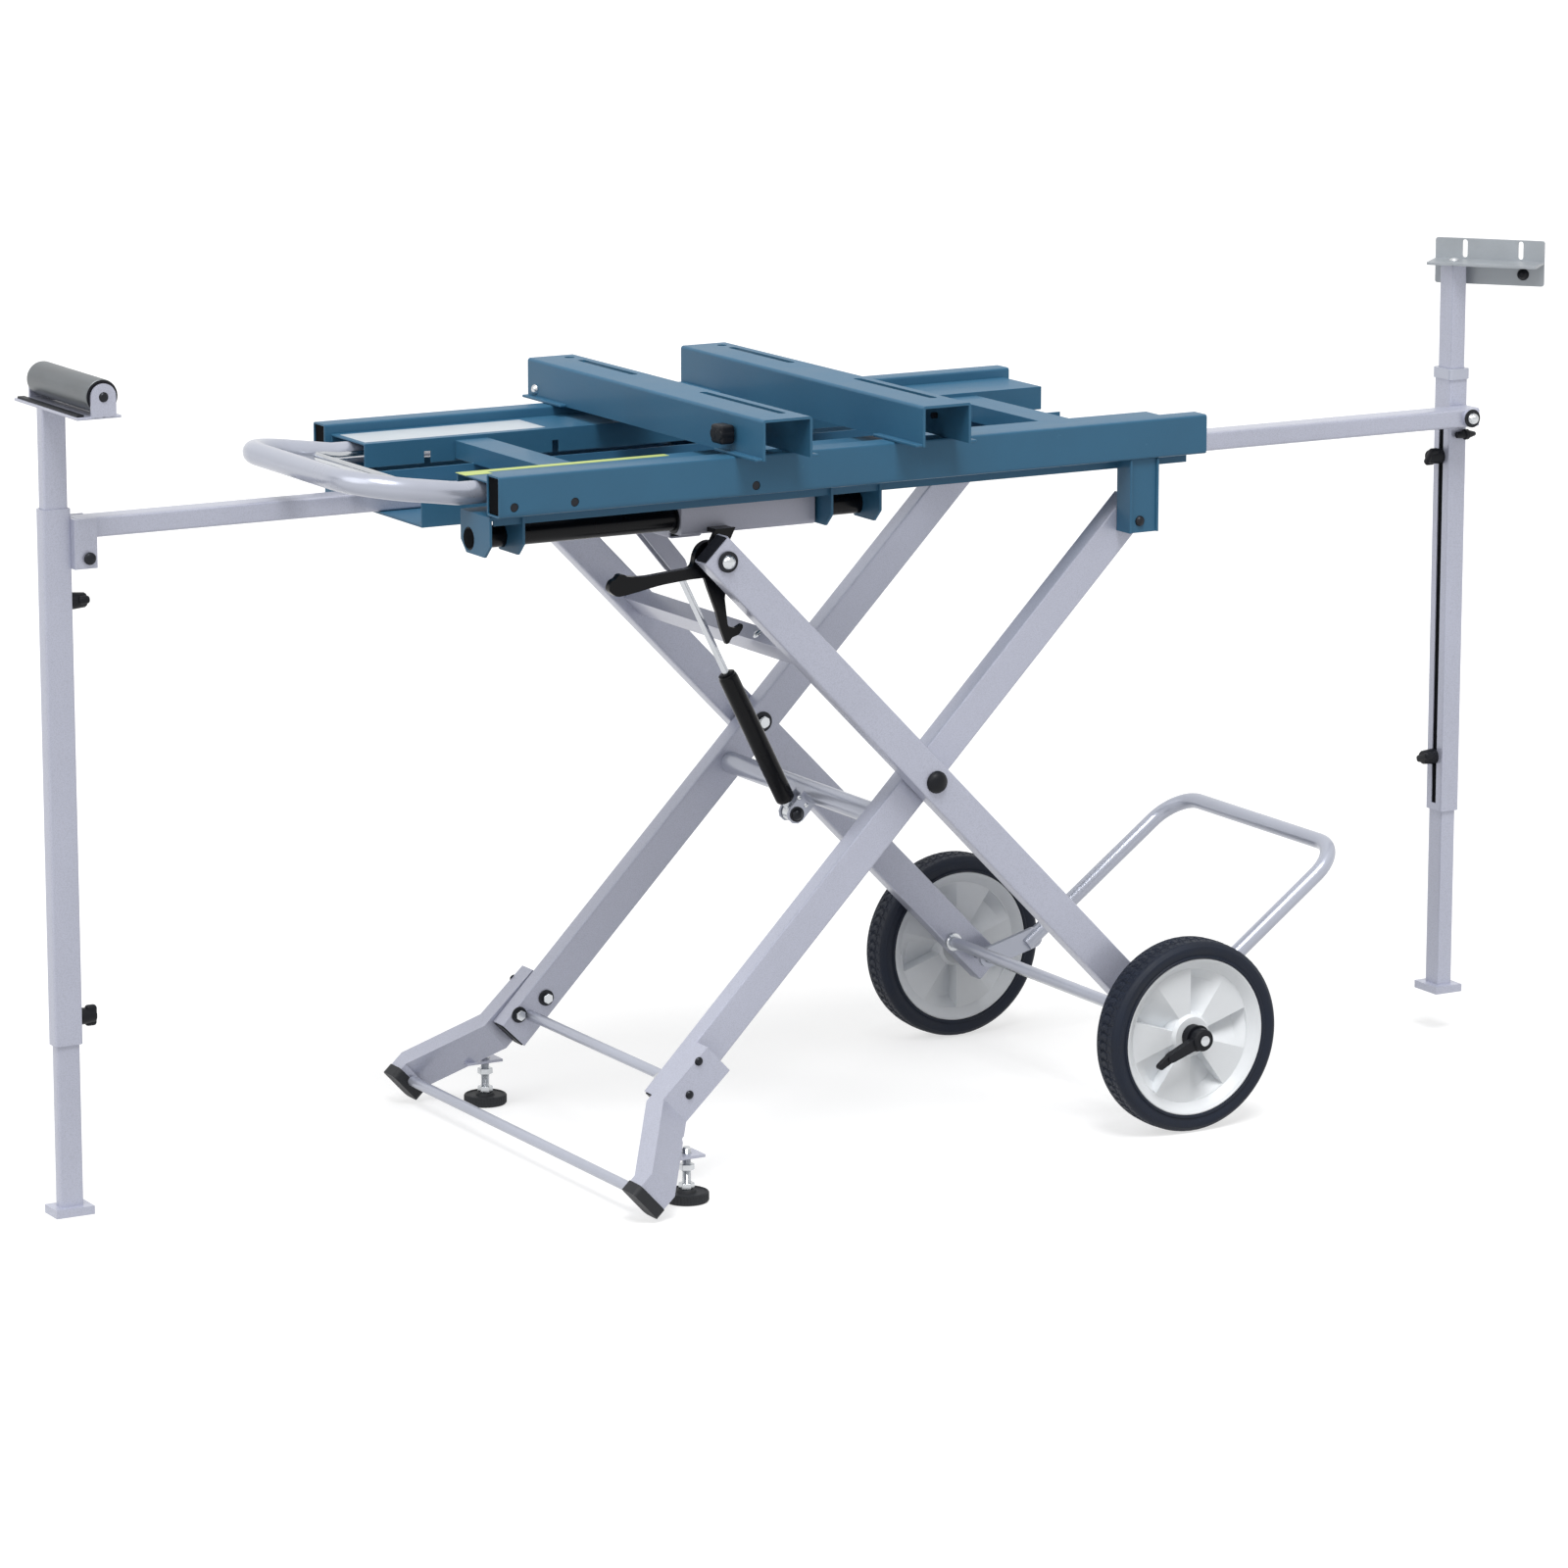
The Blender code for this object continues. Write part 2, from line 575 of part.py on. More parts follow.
UPPER_BAR_REACH = 0.209  # centre pivot to the upper crossbar
UPPER_BAR = (0.030, 0.018)
LOWER_ROD_REACH = 0.401
LOWER_ROD_SHIFT = 0.012
LOWER_ROD_RADIUS = 0.0065
for side, sign in NEAR_AND_FAR:
    outer_leg = leg(f"outer_leg_{side}", sign * outer_leg_y, down_right, -LEG_REACH - LEG_TOP_END,
                    AXLE_REACH + LEG_AXLE_END, fold_axis)
    cut(outer_leg,
        leg_bore(f"outer_leg_bore_{side}", centre, sign * outer_leg_y, fold_axis),
        leg_bore(f"outer_leg_top_bore_{side}", outer_top, sign * outer_leg_y, fold_axis),
        leg_bore(f"outer_leg_axle_bore_{side}", axle, sign * outer_leg_y, fold_axis,
                 AXLE_RADIUS + BORE_GAP))

between_outer = outer_leg_in - GAP
upper_bar_at = centre - down_right * UPPER_BAR_REACH
bar_w, bar_h = UPPER_BAR
channel_loop = [(-bar_w / 2, -bar_h / 2), (bar_w / 2, -bar_h / 2), (bar_w / 2, bar_h / 2),
                (bar_w / 2 - SHEET, bar_h / 2), (bar_w / 2 - SHEET, SHEET - bar_h / 2),
                (SHEET - bar_w / 2, SHEET - bar_h / 2), (SHEET - bar_w / 2, bar_h / 2),
                (-bar_w / 2, bar_h / 2)]
extrusion("outer_crossbar", [channel_loop], (upper_bar_at.x, between_outer, upper_bar_at.z),
          (upper_bar_at.x, -between_outer, upper_bar_at.z), up_right, SILVER_PAINT, fold_axis)
lower_rod_centre = centre + down_right * LOWER_ROD_REACH - up_right * LOWER_ROD_SHIFT
rod("lower_cross_rod", LOWER_ROD_RADIUS, (lower_rod_centre.x, between_outer, lower_rod_centre.z),
    (lower_rod_centre.x, -between_outer, lower_rod_centre.z), SILVER_PAINT, fold_axis,
    wall=TUBE_WALL)

# The U tube behind the wheels: it stands the folded trolley up, and its flattened ends sit on the axle
KICK_RADIUS = 0.009
KICK_IN = 0.0235  # tube's middle line inside the outer legs
KICK_LOW = Vector((0.0513, 0, 0.0095))  # from the axle to where the flattened ends turn round
KICK_HIGH = Vector((0.2637, 0, 0.1671))  # from the axle to the far end's middle line
KICK_CORNER = 0.045
KICK_TAB_HALF = 0.012
kick_y = outer_leg_in - KICK_IN
kick_start = axle + KICK_LOW
kick_bend = axle + KICK_HIGH
kick_way = (kick_bend - kick_start).normalized()
kick_corners = [(kick_start.x, -kick_y, kick_start.z), (kick_bend.x, -kick_y, kick_bend.z),
                (kick_bend.x, kick_y, kick_bend.z), (kick_start.x, kick_y, kick_start.z)]
kick_tube = bent_tube("kick_tube", rounded_route(kick_corners, KICK_CORNER), KICK_RADIUS,
                      SILVER_PAINT, fold_axis, TUBE_WALL)
kick_tab_end = kick_start + kick_way * KICK_TAB_HALF
for side, sign in NEAR_AND_FAR:
    weld(kick_tube, plate(f"kick_tab_{side}",
                          [outline_bar(axle.x, axle.z, kick_tab_end.x, kick_tab_end.z, KICK_TAB_HALF)],
                          sign * kick_y - PLATE, sign * kick_y + PLATE, None, fold_axis))
    cut(kick_tube, cross_hole(f"kick_hole_{side}", axle.x, axle.z, AXLE_RADIUS + BORE_GAP,
                              sign * kick_y - OVERRUN, sign * kick_y + OVERRUN, fold_axis))

# The bolts at the outer legs' top pivots
TOP_WASHER_RADIUS = 0.0115
TOP_WASHER = 0.0025
TOP_HEAD_RADIUS = 0.008
TOP_HEAD = 0.006
HANG_PLATE_IN = 0.0105  # hanger plate's inner face inside the outer leg
LEVER_WIDTH = 0.009
LEVER_SPACE = 0.002
hang_plate_y = outer_leg_in - HANG_PLATE_IN
lever_in = hang_plate_y - LEVER_SPACE - LEVER_WIDTH
top_bolt_reach = outer_leg_face + GAP - lever_in + LEVER_SPACE
for side, sign in NEAR_AND_FAR:
    turned(f"top_bolt_{side}",
           [(0, TOP_WASHER + TOP_HEAD), (TOP_HEAD_RADIUS * 0.7, TOP_WASHER + TOP_HEAD),
            (TOP_HEAD_RADIUS, TOP_WASHER + TOP_HEAD / 2), (TOP_HEAD_RADIUS, TOP_WASHER),
            (TOP_WASHER_RADIUS, TOP_WASHER), (TOP_WASHER_RADIUS, 0), (PIVOT_RADIUS, 0),
            (PIVOT_RADIUS, -top_bolt_reach), (0, -top_bolt_reach)],
           (outer_top.x, sign * (outer_leg_face + GAP), outer_top.z), Y_AXIS * sign, STEEL, fold_axis)

# Wheels
TYRE_DEPTH = 0.0198
RIM_STEP = 0.009  # width of the rim's outer band
RIM_INSET = 0.0036  # the band's face behind the tyre's
SECTOR_THICK = 0.026
WEB_THICK = 0.008
HUB_RADIUS = 0.018
HUB_OUT = 0.004  # hub beyond the tyre's outer face
SECTORS = 5
SECTOR_MARGIN = 0.004
AXLE_OUT = 0.016  # axle beyond the hub
wheel_in = outer_leg_face + WHEEL_SPACE
wheel_y = wheel_in + WHEEL_WIDTH / 2
hub_out = wheel_in + WHEEL_WIDTH + HUB_OUT
tyre_in = WHEEL_RADIUS - TYRE_DEPTH
half_width = WHEEL_WIDTH / 2
SHOULDER_SHARES = ((0.0, 0.90), (0.25, 1.0), (0.58, 1.0), (0.88, 0.86), (1.0, 0.52))
tyre_side = [(tyre_in + TYRE_DEPTH * u, half_width * v) for u, v in SHOULDER_SHARES]
tyre_profile = tyre_side + [(r, -z) for r, z in reversed(tyre_side)]
rim_out = tyre_in - GAP
band_in = rim_out - RIM_STEP
band_half = half_width - RIM_INSET
AXLE_BORE = AXLE_RADIUS + BORE_GAP


def wedge(middle, inner, outer, share=0.5):
    """A sector's outline between two radii, over its share of the pattern."""
    half = math.pi / SECTORS * share
    turns = [middle - half + 2 * half * i / BEND_STEPS for i in range(BEND_STEPS + 1)]
    return [(outer * math.cos(a), outer * math.sin(a)) for a in turns] + \
           [(inner * math.cos(a), inner * math.sin(a)) for a in reversed(turns)]


for side, sign in NEAR_AND_FAR:
    spin = pivot(f"wheel_spin_{side}", (axle.x, sign * wheel_y, axle.z), wheel_axis)
    spot = (axle.x, sign * wheel_y, axle.z)
    turned(f"tyre_{side}", tyre_profile, spot, Y_AXIS * sign, RUBBER, spin, FINE_STEPS)
    hub_high = hub_out - wheel_y
    hub_low = outer_leg_face + GAP * 2 - wheel_y
    rim = turned(f"rim_{side}",
                 [(AXLE_BORE, hub_high), (HUB_RADIUS, hub_high), (HUB_RADIUS, SECTOR_THICK / 2),
                  (band_in, SECTOR_THICK / 2), (band_in, band_half), (rim_out, band_half),
                  (rim_out, -band_half), (band_in, -band_half), (band_in, -SECTOR_THICK / 2),
                  (HUB_RADIUS, -SECTOR_THICK / 2), (HUB_RADIUS, hub_low), (AXLE_BORE, hub_low)],
                 spot, Y_AXIS * sign, GREY_PLASTIC, spin, FINE_STEPS)
    pockets = [wedge(2 * math.pi * i / SECTORS, HUB_RADIUS + SECTOR_MARGIN, band_in - SECTOR_MARGIN / 2)
               for i in range(SECTORS)]
    for face in (-1, 1):
        bottom = wheel_y + face * WEB_THICK / 2
        top = wheel_y + face * (SECTOR_THICK / 2 + OVERRUN / 2)
        ends = sorted((sign * bottom, sign * top))
        cut(rim, extrusion(f"rim_pockets_{side}_{'out' if face > 0 else 'in'}", pockets,
                           (axle.x, ends[1], axle.z), (axle.x, ends[0], axle.z), Z_AXIS, None, spin))

axle_half = hub_out + AXLE_OUT
rod("wheel_axle", AXLE_RADIUS, (axle.x, axle_half, axle.z), (axle.x, -axle_half, axle.z), STEEL,
    fold_axis)

# The wheel locks: a lever on each end of the axle
LOCK_LENGTH = 0.061
LOCK_DROP_DEG = 28.0
LOCK_HALF = 0.0065
LOCK_HUB = 0.0125
LOCK_THICK = 0.010
lock_turn = math.radians(LOCK_DROP_DEG)
lock_tip = axle + Vector((-math.cos(lock_turn), 0, -math.sin(lock_turn))) * LOCK_LENGTH
for side, sign in NEAR_AND_FAR:
    lock_axis = pivot(f"wheel_lock_axis_{side}", (axle.x, sign * hub_out, axle.z), wheel_axis)
    y0 = sign * (hub_out + GAP)
    y1 = sign * (hub_out + LOCK_THICK)
    lock = plate(f"wheel_lock_{side}",
                 [outline_bar(axle.x, axle.z, lock_tip.x, lock_tip.z, LOCK_HALF)], y0, y1,
                 BLACK_PLASTIC, lock_axis)
    hub_y1 = y1 + sign * PLATE
    weld(lock, rod(f"wheel_lock_hub_{side}", LOCK_HUB, (axle.x, y0, axle.z),
                   (axle.x, hub_y1, axle.z), None, lock_axis))
    cut(lock, cross_hole(f"wheel_lock_hole_{side}", axle.x, axle.z, AXLE_BORE,
                         y0 - sign * OVERRUN, hub_y1 + sign * OVERRUN, lock_axis))


# The carriage: a slider on each guide rod, joined by a beam, hung on the outer legs' tops

SLIDER_BACK = 0.0278  # slider to the left of the top pivot
SLIDER_FORWARD = 0.1361
SLIDER_IN = 0.018  # slider's faces from the rod's middle line
SLIDER_OUT = 0.019
SLIDER_ABOVE = 0.0266
SLIDER_BELOW = 0.0155
HANG_WIDTH = 0.048
HANG_PLATE = 0.005
HANG_DROP = 0.014  # hanger below the pivot
slider_top = rod_z + SLIDER_ABOVE
slider_base = rod_z - SLIDER_BELOW
slider_left = outer_top.x - SLIDER_BACK
slider_right = outer_top.x + SLIDER_FORWARD
slider_in = rod_y - SLIDER_IN
slider_out = rod_y + SLIDER_OUT
hang_left = outer_top.x - HANG_WIDTH / 2
hang_right = outer_top.x + HANG_WIDTH / 2
for side, sign in NEAR_AND_FAR:
    y0, y1 = sign * slider_in, sign * slider_out
    slider = extrusion(f"slider_{side}", [oblong(SLIDER_OUT + SLIDER_IN, SLIDER_ABOVE + SLIDER_BELOW)],
                       (slider_left, (y0 + y1) / 2, (slider_top + slider_base) / 2),
                       (slider_right, (y0 + y1) / 2, (slider_top + slider_base) / 2), Z_AXIS,
                       TAUPE_PAINT, carriage_axis)
    web = sorted((y1 - sign * WELD, sign * (hang_plate_y + WELD)))
    weld(slider,
         block(f"hanger_web_{side}", (hang_left, web[0], slider_base + SHEET),
               (hang_right, web[1], slider_base + SHEET + HANG_PLATE), None, carriage_axis),
         plate(f"hanger_plate_{side}",
               [span(hang_left, hang_right, outer_top.z - HANG_DROP, slider_top - SHEET)],
               sign * hang_plate_y, sign * (hang_plate_y + HANG_PLATE), None, carriage_axis))
    cut(slider,
        rod(f"slider_bore_{side}", ROD_RADIUS + SLIDE_GAP, (slider_left - OVERRUN, sign * rod_y, rod_z),
            (slider_right + OVERRUN, sign * rod_y, rod_z), None, carriage_axis),
        cross_hole(f"hanger_hole_{side}", outer_top.x, outer_top.z, PIVOT_RADIUS + BORE_GAP,
                   sign * (hang_plate_y - SHEET), sign * (hang_plate_y + HANG_PLATE + SHEET),
                   carriage_axis))

BEAM_BACK = 0.0227  # beam's left face to the left of the top pivot
BEAM_WIDTH = 0.040
BEAM_HEIGHT = 0.020
CLEVIS_HALF = 0.010
CLEVIS_SPACE = 0.014
beam_left = outer_top.x - BEAM_BACK
beam_top = bar_base - 2 * PLATE - SLIDE_GAP * 3
beam_base = beam_top - BEAM_HEIGHT
beam_half = slider_in - GAP
carriage_beam = extrusion("carriage_beam", hollow(BEAM_WIDTH, BEAM_HEIGHT),
                          (beam_left + BEAM_WIDTH / 2, beam_half, beam_base + BEAM_HEIGHT / 2),
                          (beam_left + BEAM_WIDTH / 2, -beam_half, beam_base + BEAM_HEIGHT / 2),
                          Z_AXIS, TAUPE_PAINT, carriage_axis)
for side, sign in NEAR_AND_FAR:
    inner_y = SPRING_Y + sign * CLEVIS_SPACE / 2
    weld(carriage_beam,
         plate(f"spring_clevis_{side}",
               [outline_bar(beam_left + BEAM_WIDTH / 2, beam_base + CLEVIS_HALF, SPRING_HEAD.x,
                            SPRING_HEAD.z, CLEVIS_HALF)],
               inner_y, inner_y + sign * PLATE, None, carriage_axis))

# The release lever: a grip to the left and a hook below, on the near top bolt
LEVER_GRIP = outer_top + Vector((-0.1221, 0, -0.0202))
LEVER_KNEE = outer_top + Vector((-0.0037, 0, 0.0006))
LEVER_TOE = outer_top + Vector((0.0139, 0, -0.0862))
LEVER_HOOK = outer_top + Vector((0.0319, 0, -0.0792))
LEVER_HALF = 0.0085
LEVER_HEAD = 0.013
LEVER_TOE_HALF = 0.005
lever_y0 = -lever_in
lever_y1 = -(lever_in + LEVER_WIDTH)
release_lever = plate("release_lever",
                      [outline_bar(LEVER_GRIP.x, LEVER_GRIP.z, LEVER_KNEE.x, LEVER_KNEE.z, LEVER_HALF)],
                      lever_y0, lever_y1, BLACK_PLASTIC, carriage_axis)
weld(release_lever,
     rod("lever_head", LEVER_HEAD, (outer_top.x, lever_y0, outer_top.z),
         (outer_top.x, lever_y1, outer_top.z), None, carriage_axis),
     plate("lever_arm", [outline_bar(outer_top.x, outer_top.z, LEVER_TOE.x, LEVER_TOE.z, LEVER_HALF * 0.8)],
           lever_y0 - WELD, lever_y1 + WELD, None, carriage_axis),
     plate("lever_hook", [outline_bar(LEVER_TOE.x, LEVER_TOE.z, LEVER_HOOK.x, LEVER_HOOK.z, LEVER_TOE_HALF)],
           lever_y0 - 2 * WELD, lever_y1 + 2 * WELD, None, carriage_axis))
cut(release_lever, cross_hole("lever_hole", outer_top.x, outer_top.z, PIVOT_RADIUS + BORE_GAP,
                              lever_y0 + OVERRUN, lever_y1 - OVERRUN, carriage_axis))

# The gas spring, from the inner legs' cross tube to the carriage
CYLINDER_RADIUS = 0.011
CYLINDER_LENGTH = 0.186  # foot pin to the cylinder's open end
CYLINDER_BASE = 0.016
SPRING_ROD_RADIUS = 0.004
SPRING_ROD_IN = 0.030  # rod inside the cylinder at rest
SPRING_BORE_BASE = 0.050
SPRING_EYE = 0.0095
SPRING_EYE_WIDTH = 0.012
spring_way = (SPRING_HEAD - SPRING_FOOT).normalized()
spring_length = (SPRING_HEAD - SPRING_FOOT).length
spring_foot = Vector((SPRING_FOOT.x, SPRING_Y, SPRING_FOOT.z))
spring_head = Vector((SPRING_HEAD.x, SPRING_Y, SPRING_HEAD.z))
spring_axis = pivot("spring_axis", spring_foot, origin)
spring_slide = pivot("spring_slide", spring_head, spring_axis)
gas_cylinder = rod("gas_cylinder", CYLINDER_RADIUS, spring_foot + spring_way * CYLINDER_BASE,
                   spring_foot + spring_way * CYLINDER_LENGTH, BLACK_PAINT, spring_axis)
weld(gas_cylinder,
     extrusion("cylinder_neck", [oblong(SPRING_EYE_WIDTH, 2 * SPRING_EYE)],
               spring_foot, spring_foot + spring_way * (CYLINDER_BASE + WELD), spring_way.cross(Y_AXIS),
               None, spring_axis),
     rod("cylinder_eye", SPRING_EYE, spring_foot + Y_AXIS * (SPRING_EYE_WIDTH / 2 + GAP),
         spring_foot - Y_AXIS * (SPRING_EYE_WIDTH / 2 + GAP), None, spring_axis))
cut(gas_cylinder,
    rod("cylinder_bore", SPRING_ROD_RADIUS + SLIDE_GAP, spring_foot + spring_way * SPRING_BORE_BASE,
        spring_foot + spring_way * (CYLINDER_LENGTH + OVERRUN), None, spring_axis),
    cross_hole("cylinder_eye_hole", spring_foot.x, spring_foot.z, SPRING_PIN_RADIUS + BORE_GAP,
               SPRING_Y - OVERRUN, SPRING_Y + OVERRUN, spring_axis))
gas_rod = rod("gas_rod", SPRING_ROD_RADIUS, spring_foot + spring_way * (CYLINDER_LENGTH - SPRING_ROD_IN),
              spring_head, STEEL, spring_slide, SMALL_STEPS)
weld(gas_rod, rod("gas_rod_eye", SPRING_EYE * 0.8, spring_head + Y_AXIS * SPRING_EYE_WIDTH / 2,
                  spring_head - Y_AXIS * SPRING_EYE_WIDTH / 2, None, spring_slide, SMALL_STEPS))


# The top frame

rail_z = rail_base + RAIL_HEIGHT / 2
RAIL_HOLE_RADIUS = 0.005
RAIL_HOLES = (0.018, 0.0892, 0.3064)  # from the rail's left end
RAIL_HOLE_RISE = 0.0105
for side, sign in NEAR_AND_FAR:
    rail = extrusion(f"rail_{side}", hollow(RAIL_WIDTH, RAIL_HEIGHT),
                     (-FRAME_LEFT, sign * (half_frame - RAIL_WIDTH / 2), rail_z),
                     (FRAME_RIGHT, sign * (half_frame - RAIL_WIDTH / 2), rail_z), Z_AXIS, BLUE_PAINT,
                     frame_axis)
    cut(rail, *(cross_hole(f"rail_hole_{side}_{i}", x, rail_base + RAIL_HOLE_RISE, RAIL_HOLE_RADIUS,
                           sign * (half_frame - RAIL_WIDTH / 2), sign * (half_frame + OVERRUN),
                           frame_axis) for i, x in enumerate(run - FRAME_LEFT for run in RAIL_HOLES)))

# The trays inside the rails: folded sheet, with the rod brackets below and the hangers of the
# inner legs, whose pins are welded in
TRAY_WIDTH = 0.083
TRAY_LEFT_MARGIN = 0.0076  # tray ends inside the rail's ends
TRAY_RIGHT_MARGIN = 0.0077
TRAY_DROP = 0.0106  # tray top below the rail's
TRAY_LIP = 0.0265
SKIRT_DROP = 0.0125  # the skirt's edge below the rail's underside
tray_top = rail_top - TRAY_DROP
tray_out = rail_in - GAP
tray_in = tray_out - TRAY_WIDTH
tray_left = TRAY_LEFT_MARGIN - FRAME_LEFT
tray_right = FRAME_RIGHT - TRAY_RIGHT_MARGIN
tray_loop = [(tray_in, tray_top - TRAY_LIP), (tray_in, tray_top), (tray_out, tray_top),
             (tray_out, rail_base - SKIRT_DROP), (tray_out - SHEET, rail_base - SKIRT_DROP),
             (tray_out - SHEET, tray_top - SHEET), (tray_in + SHEET, tray_top - SHEET),
             (tray_in + SHEET, tray_top - TRAY_LIP)]
BRACKET_IN = 0.019  # rod bracket's inner edge inside the rod's middle line
BRACKET_OUT = 0.004  # its outer edge beyond the tray
BRACKET_BASE = 0.0155  # bracket's lower edge below the rod's centre
BRACKET_TOP = 0.002  # bracket top below the rail's underside
BRACKET_CHAMFER = 0.013
BRACKET_MARGIN = 0.0011  # left bracket inside the rail's left end
LEFT_BRACKET_LENGTH = 0.0418
RIGHT_BRACKET_LENGTH = 0.0634
BRACKET_SPACE = 0.0031  # right bracket beyond the slider
NOTCHES = (0.0836, 0.2405)  # from the rail's left end
NOTCH_WIDTH = 0.008
NOTCH_HEIGHT = 0.013
HANGER_DEPTH = 0.025
HANGER_BACK = 0.0141  # hanger's sides from the inner legs' top pivot
HANGER_FORWARD = 0.0233
HANGER_DROP = 0.013
bracket_top = rail_base - BRACKET_TOP
bracket_base = rod_z - BRACKET_BASE
hanger_in = inner_leg_out + 2 * GAP
hanger_out = hanger_in + HANGER_DEPTH
left_bracket = (BRACKET_MARGIN - FRAME_LEFT, BRACKET_MARGIN - FRAME_LEFT + LEFT_BRACKET_LENGTH)
right_bracket = (slider_right + BRACKET_SPACE, slider_right + BRACKET_SPACE + RIGHT_BRACKET_LENGTH)
for side, sign in NEAR_AND_FAR:
    tray = extrusion(f"tray_{side}", [mirrored(tray_loop, sign)], (tray_left, 0, 0),
                     (tray_right, 0, 0), Z_AXIS, BLUE_PAINT, frame_axis)
    y0, y1 = rod_y - BRACKET_IN, tray_out + BRACKET_OUT
    chamfered = [(y0, bracket_top), (y0, bracket_base + BRACKET_CHAMFER),
                 (y0 + BRACKET_CHAMFER, bracket_base), (y1 - BRACKET_CHAMFER, bracket_base),
                 (y1, bracket_base + BRACKET_CHAMFER), (y1, bracket_top)]
    for end, (x0, x1) in (("left", left_bracket), ("right", right_bracket)):
        bracket = extrusion(f"rod_bracket_{end}_{side}", [mirrored(chamfered, sign)], (x0, 0, 0),
                            (x1, 0, 0), Z_AXIS, None, frame_axis)
        hollowed = sorted((sign * (y0 - OVERRUN), sign * (y1 + OVERRUN)))
        cut(bracket,
            block(f"rod_bracket_inside_{end}_{side}",
                  (x0 + PLATE, hollowed[0], bracket_base - OVERRUN),
                  (x1 - PLATE, hollowed[1], bracket_top - PLATE), None, frame_axis),
            rod(f"rod_bracket_bore_{end}_{side}", ROD_RADIUS + BORE_GAP,
                (x0 - OVERRUN, sign * rod_y, rod_z), (x1 + OVERRUN, sign * rod_y, rod_z), None,
                frame_axis))
        weld(tray, bracket)
    h0, h1 = inner_top.x - HANGER_BACK, inner_top.x + HANGER_FORWARD
    hanger_loop = [(h0, hanger_in), (h0, hanger_out), (h1, hanger_out), (h1, hanger_in),
                   (h1 - PLATE, hanger_in), (h1 - PLATE, hanger_out - PLATE),
                   (h0 + PLATE, hanger_out - PLATE), (h0 + PLATE, hanger_in)]
    weld(tray,
         extrusion(f"leg_hanger_{side}", [[(x, sign * y) for x, y in hanger_loop]],
                   (0, 0, inner_top.z - HANGER_DROP), (0, 0, rail_base - GAP), Y_AXIS, None,
                   frame_axis),
         rod(f"hanger_pin_{side}", HANGER_PIN_RADIUS,
             (inner_top.x, sign * (inner_leg_in - PLATE), inner_top.z),
             (inner_top.x, sign * (hanger_out - WELD), inner_top.z), None, frame_axis, SMALL_STEPS))
    lip = sorted((sign * (tray_in - OVERRUN), sign * (tray_in + OVERRUN)))
    cut(tray, *(block(f"tray_notch_{side}_{i}",
                      (x - NOTCH_WIDTH / 2, lip[0], tray_top - TRAY_LIP - OVERRUN),
                      (x + NOTCH_WIDTH / 2, lip[1], tray_top - TRAY_LIP + NOTCH_HEIGHT), None,
                      frame_axis) for i, x in enumerate(run - FRAME_LEFT for run in NOTCHES)))
    rod(f"guide_rod_{side}", ROD_RADIUS, (left_bracket[0], sign * rod_y, rod_z),
        (right_bracket[1], sign * rod_y, rod_z), BLACK_PAINT, frame_axis, wall=TUBE_WALL)

# The bars' carrier: a channel round both bars, hung from two cross members between the trays
CARRIER_SPACE = 0.0029  # between the bars and the channel's sides
CARRIER_LEFT_OUT = 0.0124  # channel beyond the rail's left end
CARRIER_RIGHT_IN = 0.0107
CROSS_LEFT = 0.1366  # cross members from the rail's ends
CROSS_RIGHT = 0.1151
CROSS_WIDTH = 0.040
CROSS_HEIGHT = 0.020
CROSS_RISE = 0.009  # cross members' underside above the rail's
carrier_half = BAR_Y + BAR_WIDTH / 2 + CARRIER_SPACE + SHEET
carrier_base = bar_base - GAP - PLATE
cross_base = rail_base + CROSS_RISE
carrier_top = cross_base + WELD
carrier_loop = [(-carrier_half, carrier_base), (carrier_half, carrier_base),
                (carrier_half, carrier_top), (carrier_half - SHEET, carrier_top),
                (carrier_half - SHEET, carrier_base + PLATE), (SHEET - carrier_half, carrier_base + PLATE),
                (SHEET - carrier_half, carrier_top), (-carrier_half, carrier_top)]
bar_carrier = extrusion("bar_carrier", [carrier_loop], (-FRAME_LEFT - CARRIER_LEFT_OUT, 0, 0),
                        (FRAME_RIGHT - CARRIER_RIGHT_IN, 0, 0), Z_AXIS, BLUE_PAINT, frame_axis)
for i, x in enumerate((CROSS_LEFT - FRAME_LEFT, FRAME_RIGHT - CROSS_RIGHT)):
    w, h = CROSS_WIDTH / 2, CROSS_HEIGHT
    member = [(-w, 0), (-w, h), (w, h), (w, 0), (w - SHEET, 0), (w - SHEET, h - SHEET),
              (SHEET - w, h - SHEET), (SHEET - w, 0)]
    reach = tray_in - GAP
    weld(bar_carrier, extrusion(f"cross_member_{i}", [member], (x, reach, cross_base),
                                (x, -reach, cross_base), Z_AXIS, None, frame_axis))

# The carrying handle, and the thin release bail that slides inside it

HANDLE_RADIUS = 0.0125
HANDLE_SIDE = 0.041  # handle's middle line inside the tray's outer edge
HANDLE_INSIDE = 0.133  # handle's ends inside the rail's left end
HANDLE_STRAIGHT = 0.012  # its bend beyond that end
HANDLE_OUT = 0.127  # its grip beyond that end
HANDLE_RISE = 0.0088  # grip's middle line below the rail's top
HANDLE_CORNER = 0.063
BAIL_RADIUS = 0.0045
BAIL_INSIDE = 0.113
BAIL_REACH = 0.0463
BAIL_CORNER = 0.025
handle_y = tray_out - HANDLE_SIDE
handle_in = HANDLE_INSIDE - FRAME_LEFT
handle_bend = -FRAME_LEFT - HANDLE_STRAIGHT
handle_grip = Vector((-FRAME_LEFT - HANDLE_OUT, 0, rail_top - HANDLE_RISE))
bail_in = BAIL_INSIDE - FRAME_LEFT
bail_out = -FRAME_LEFT - BAIL_REACH
handle_z = tray_top - SHEET - GAP - HANDLE_RADIUS
bail_y = handle_y - HANDLE_RADIUS - GAP - BAIL_RADIUS
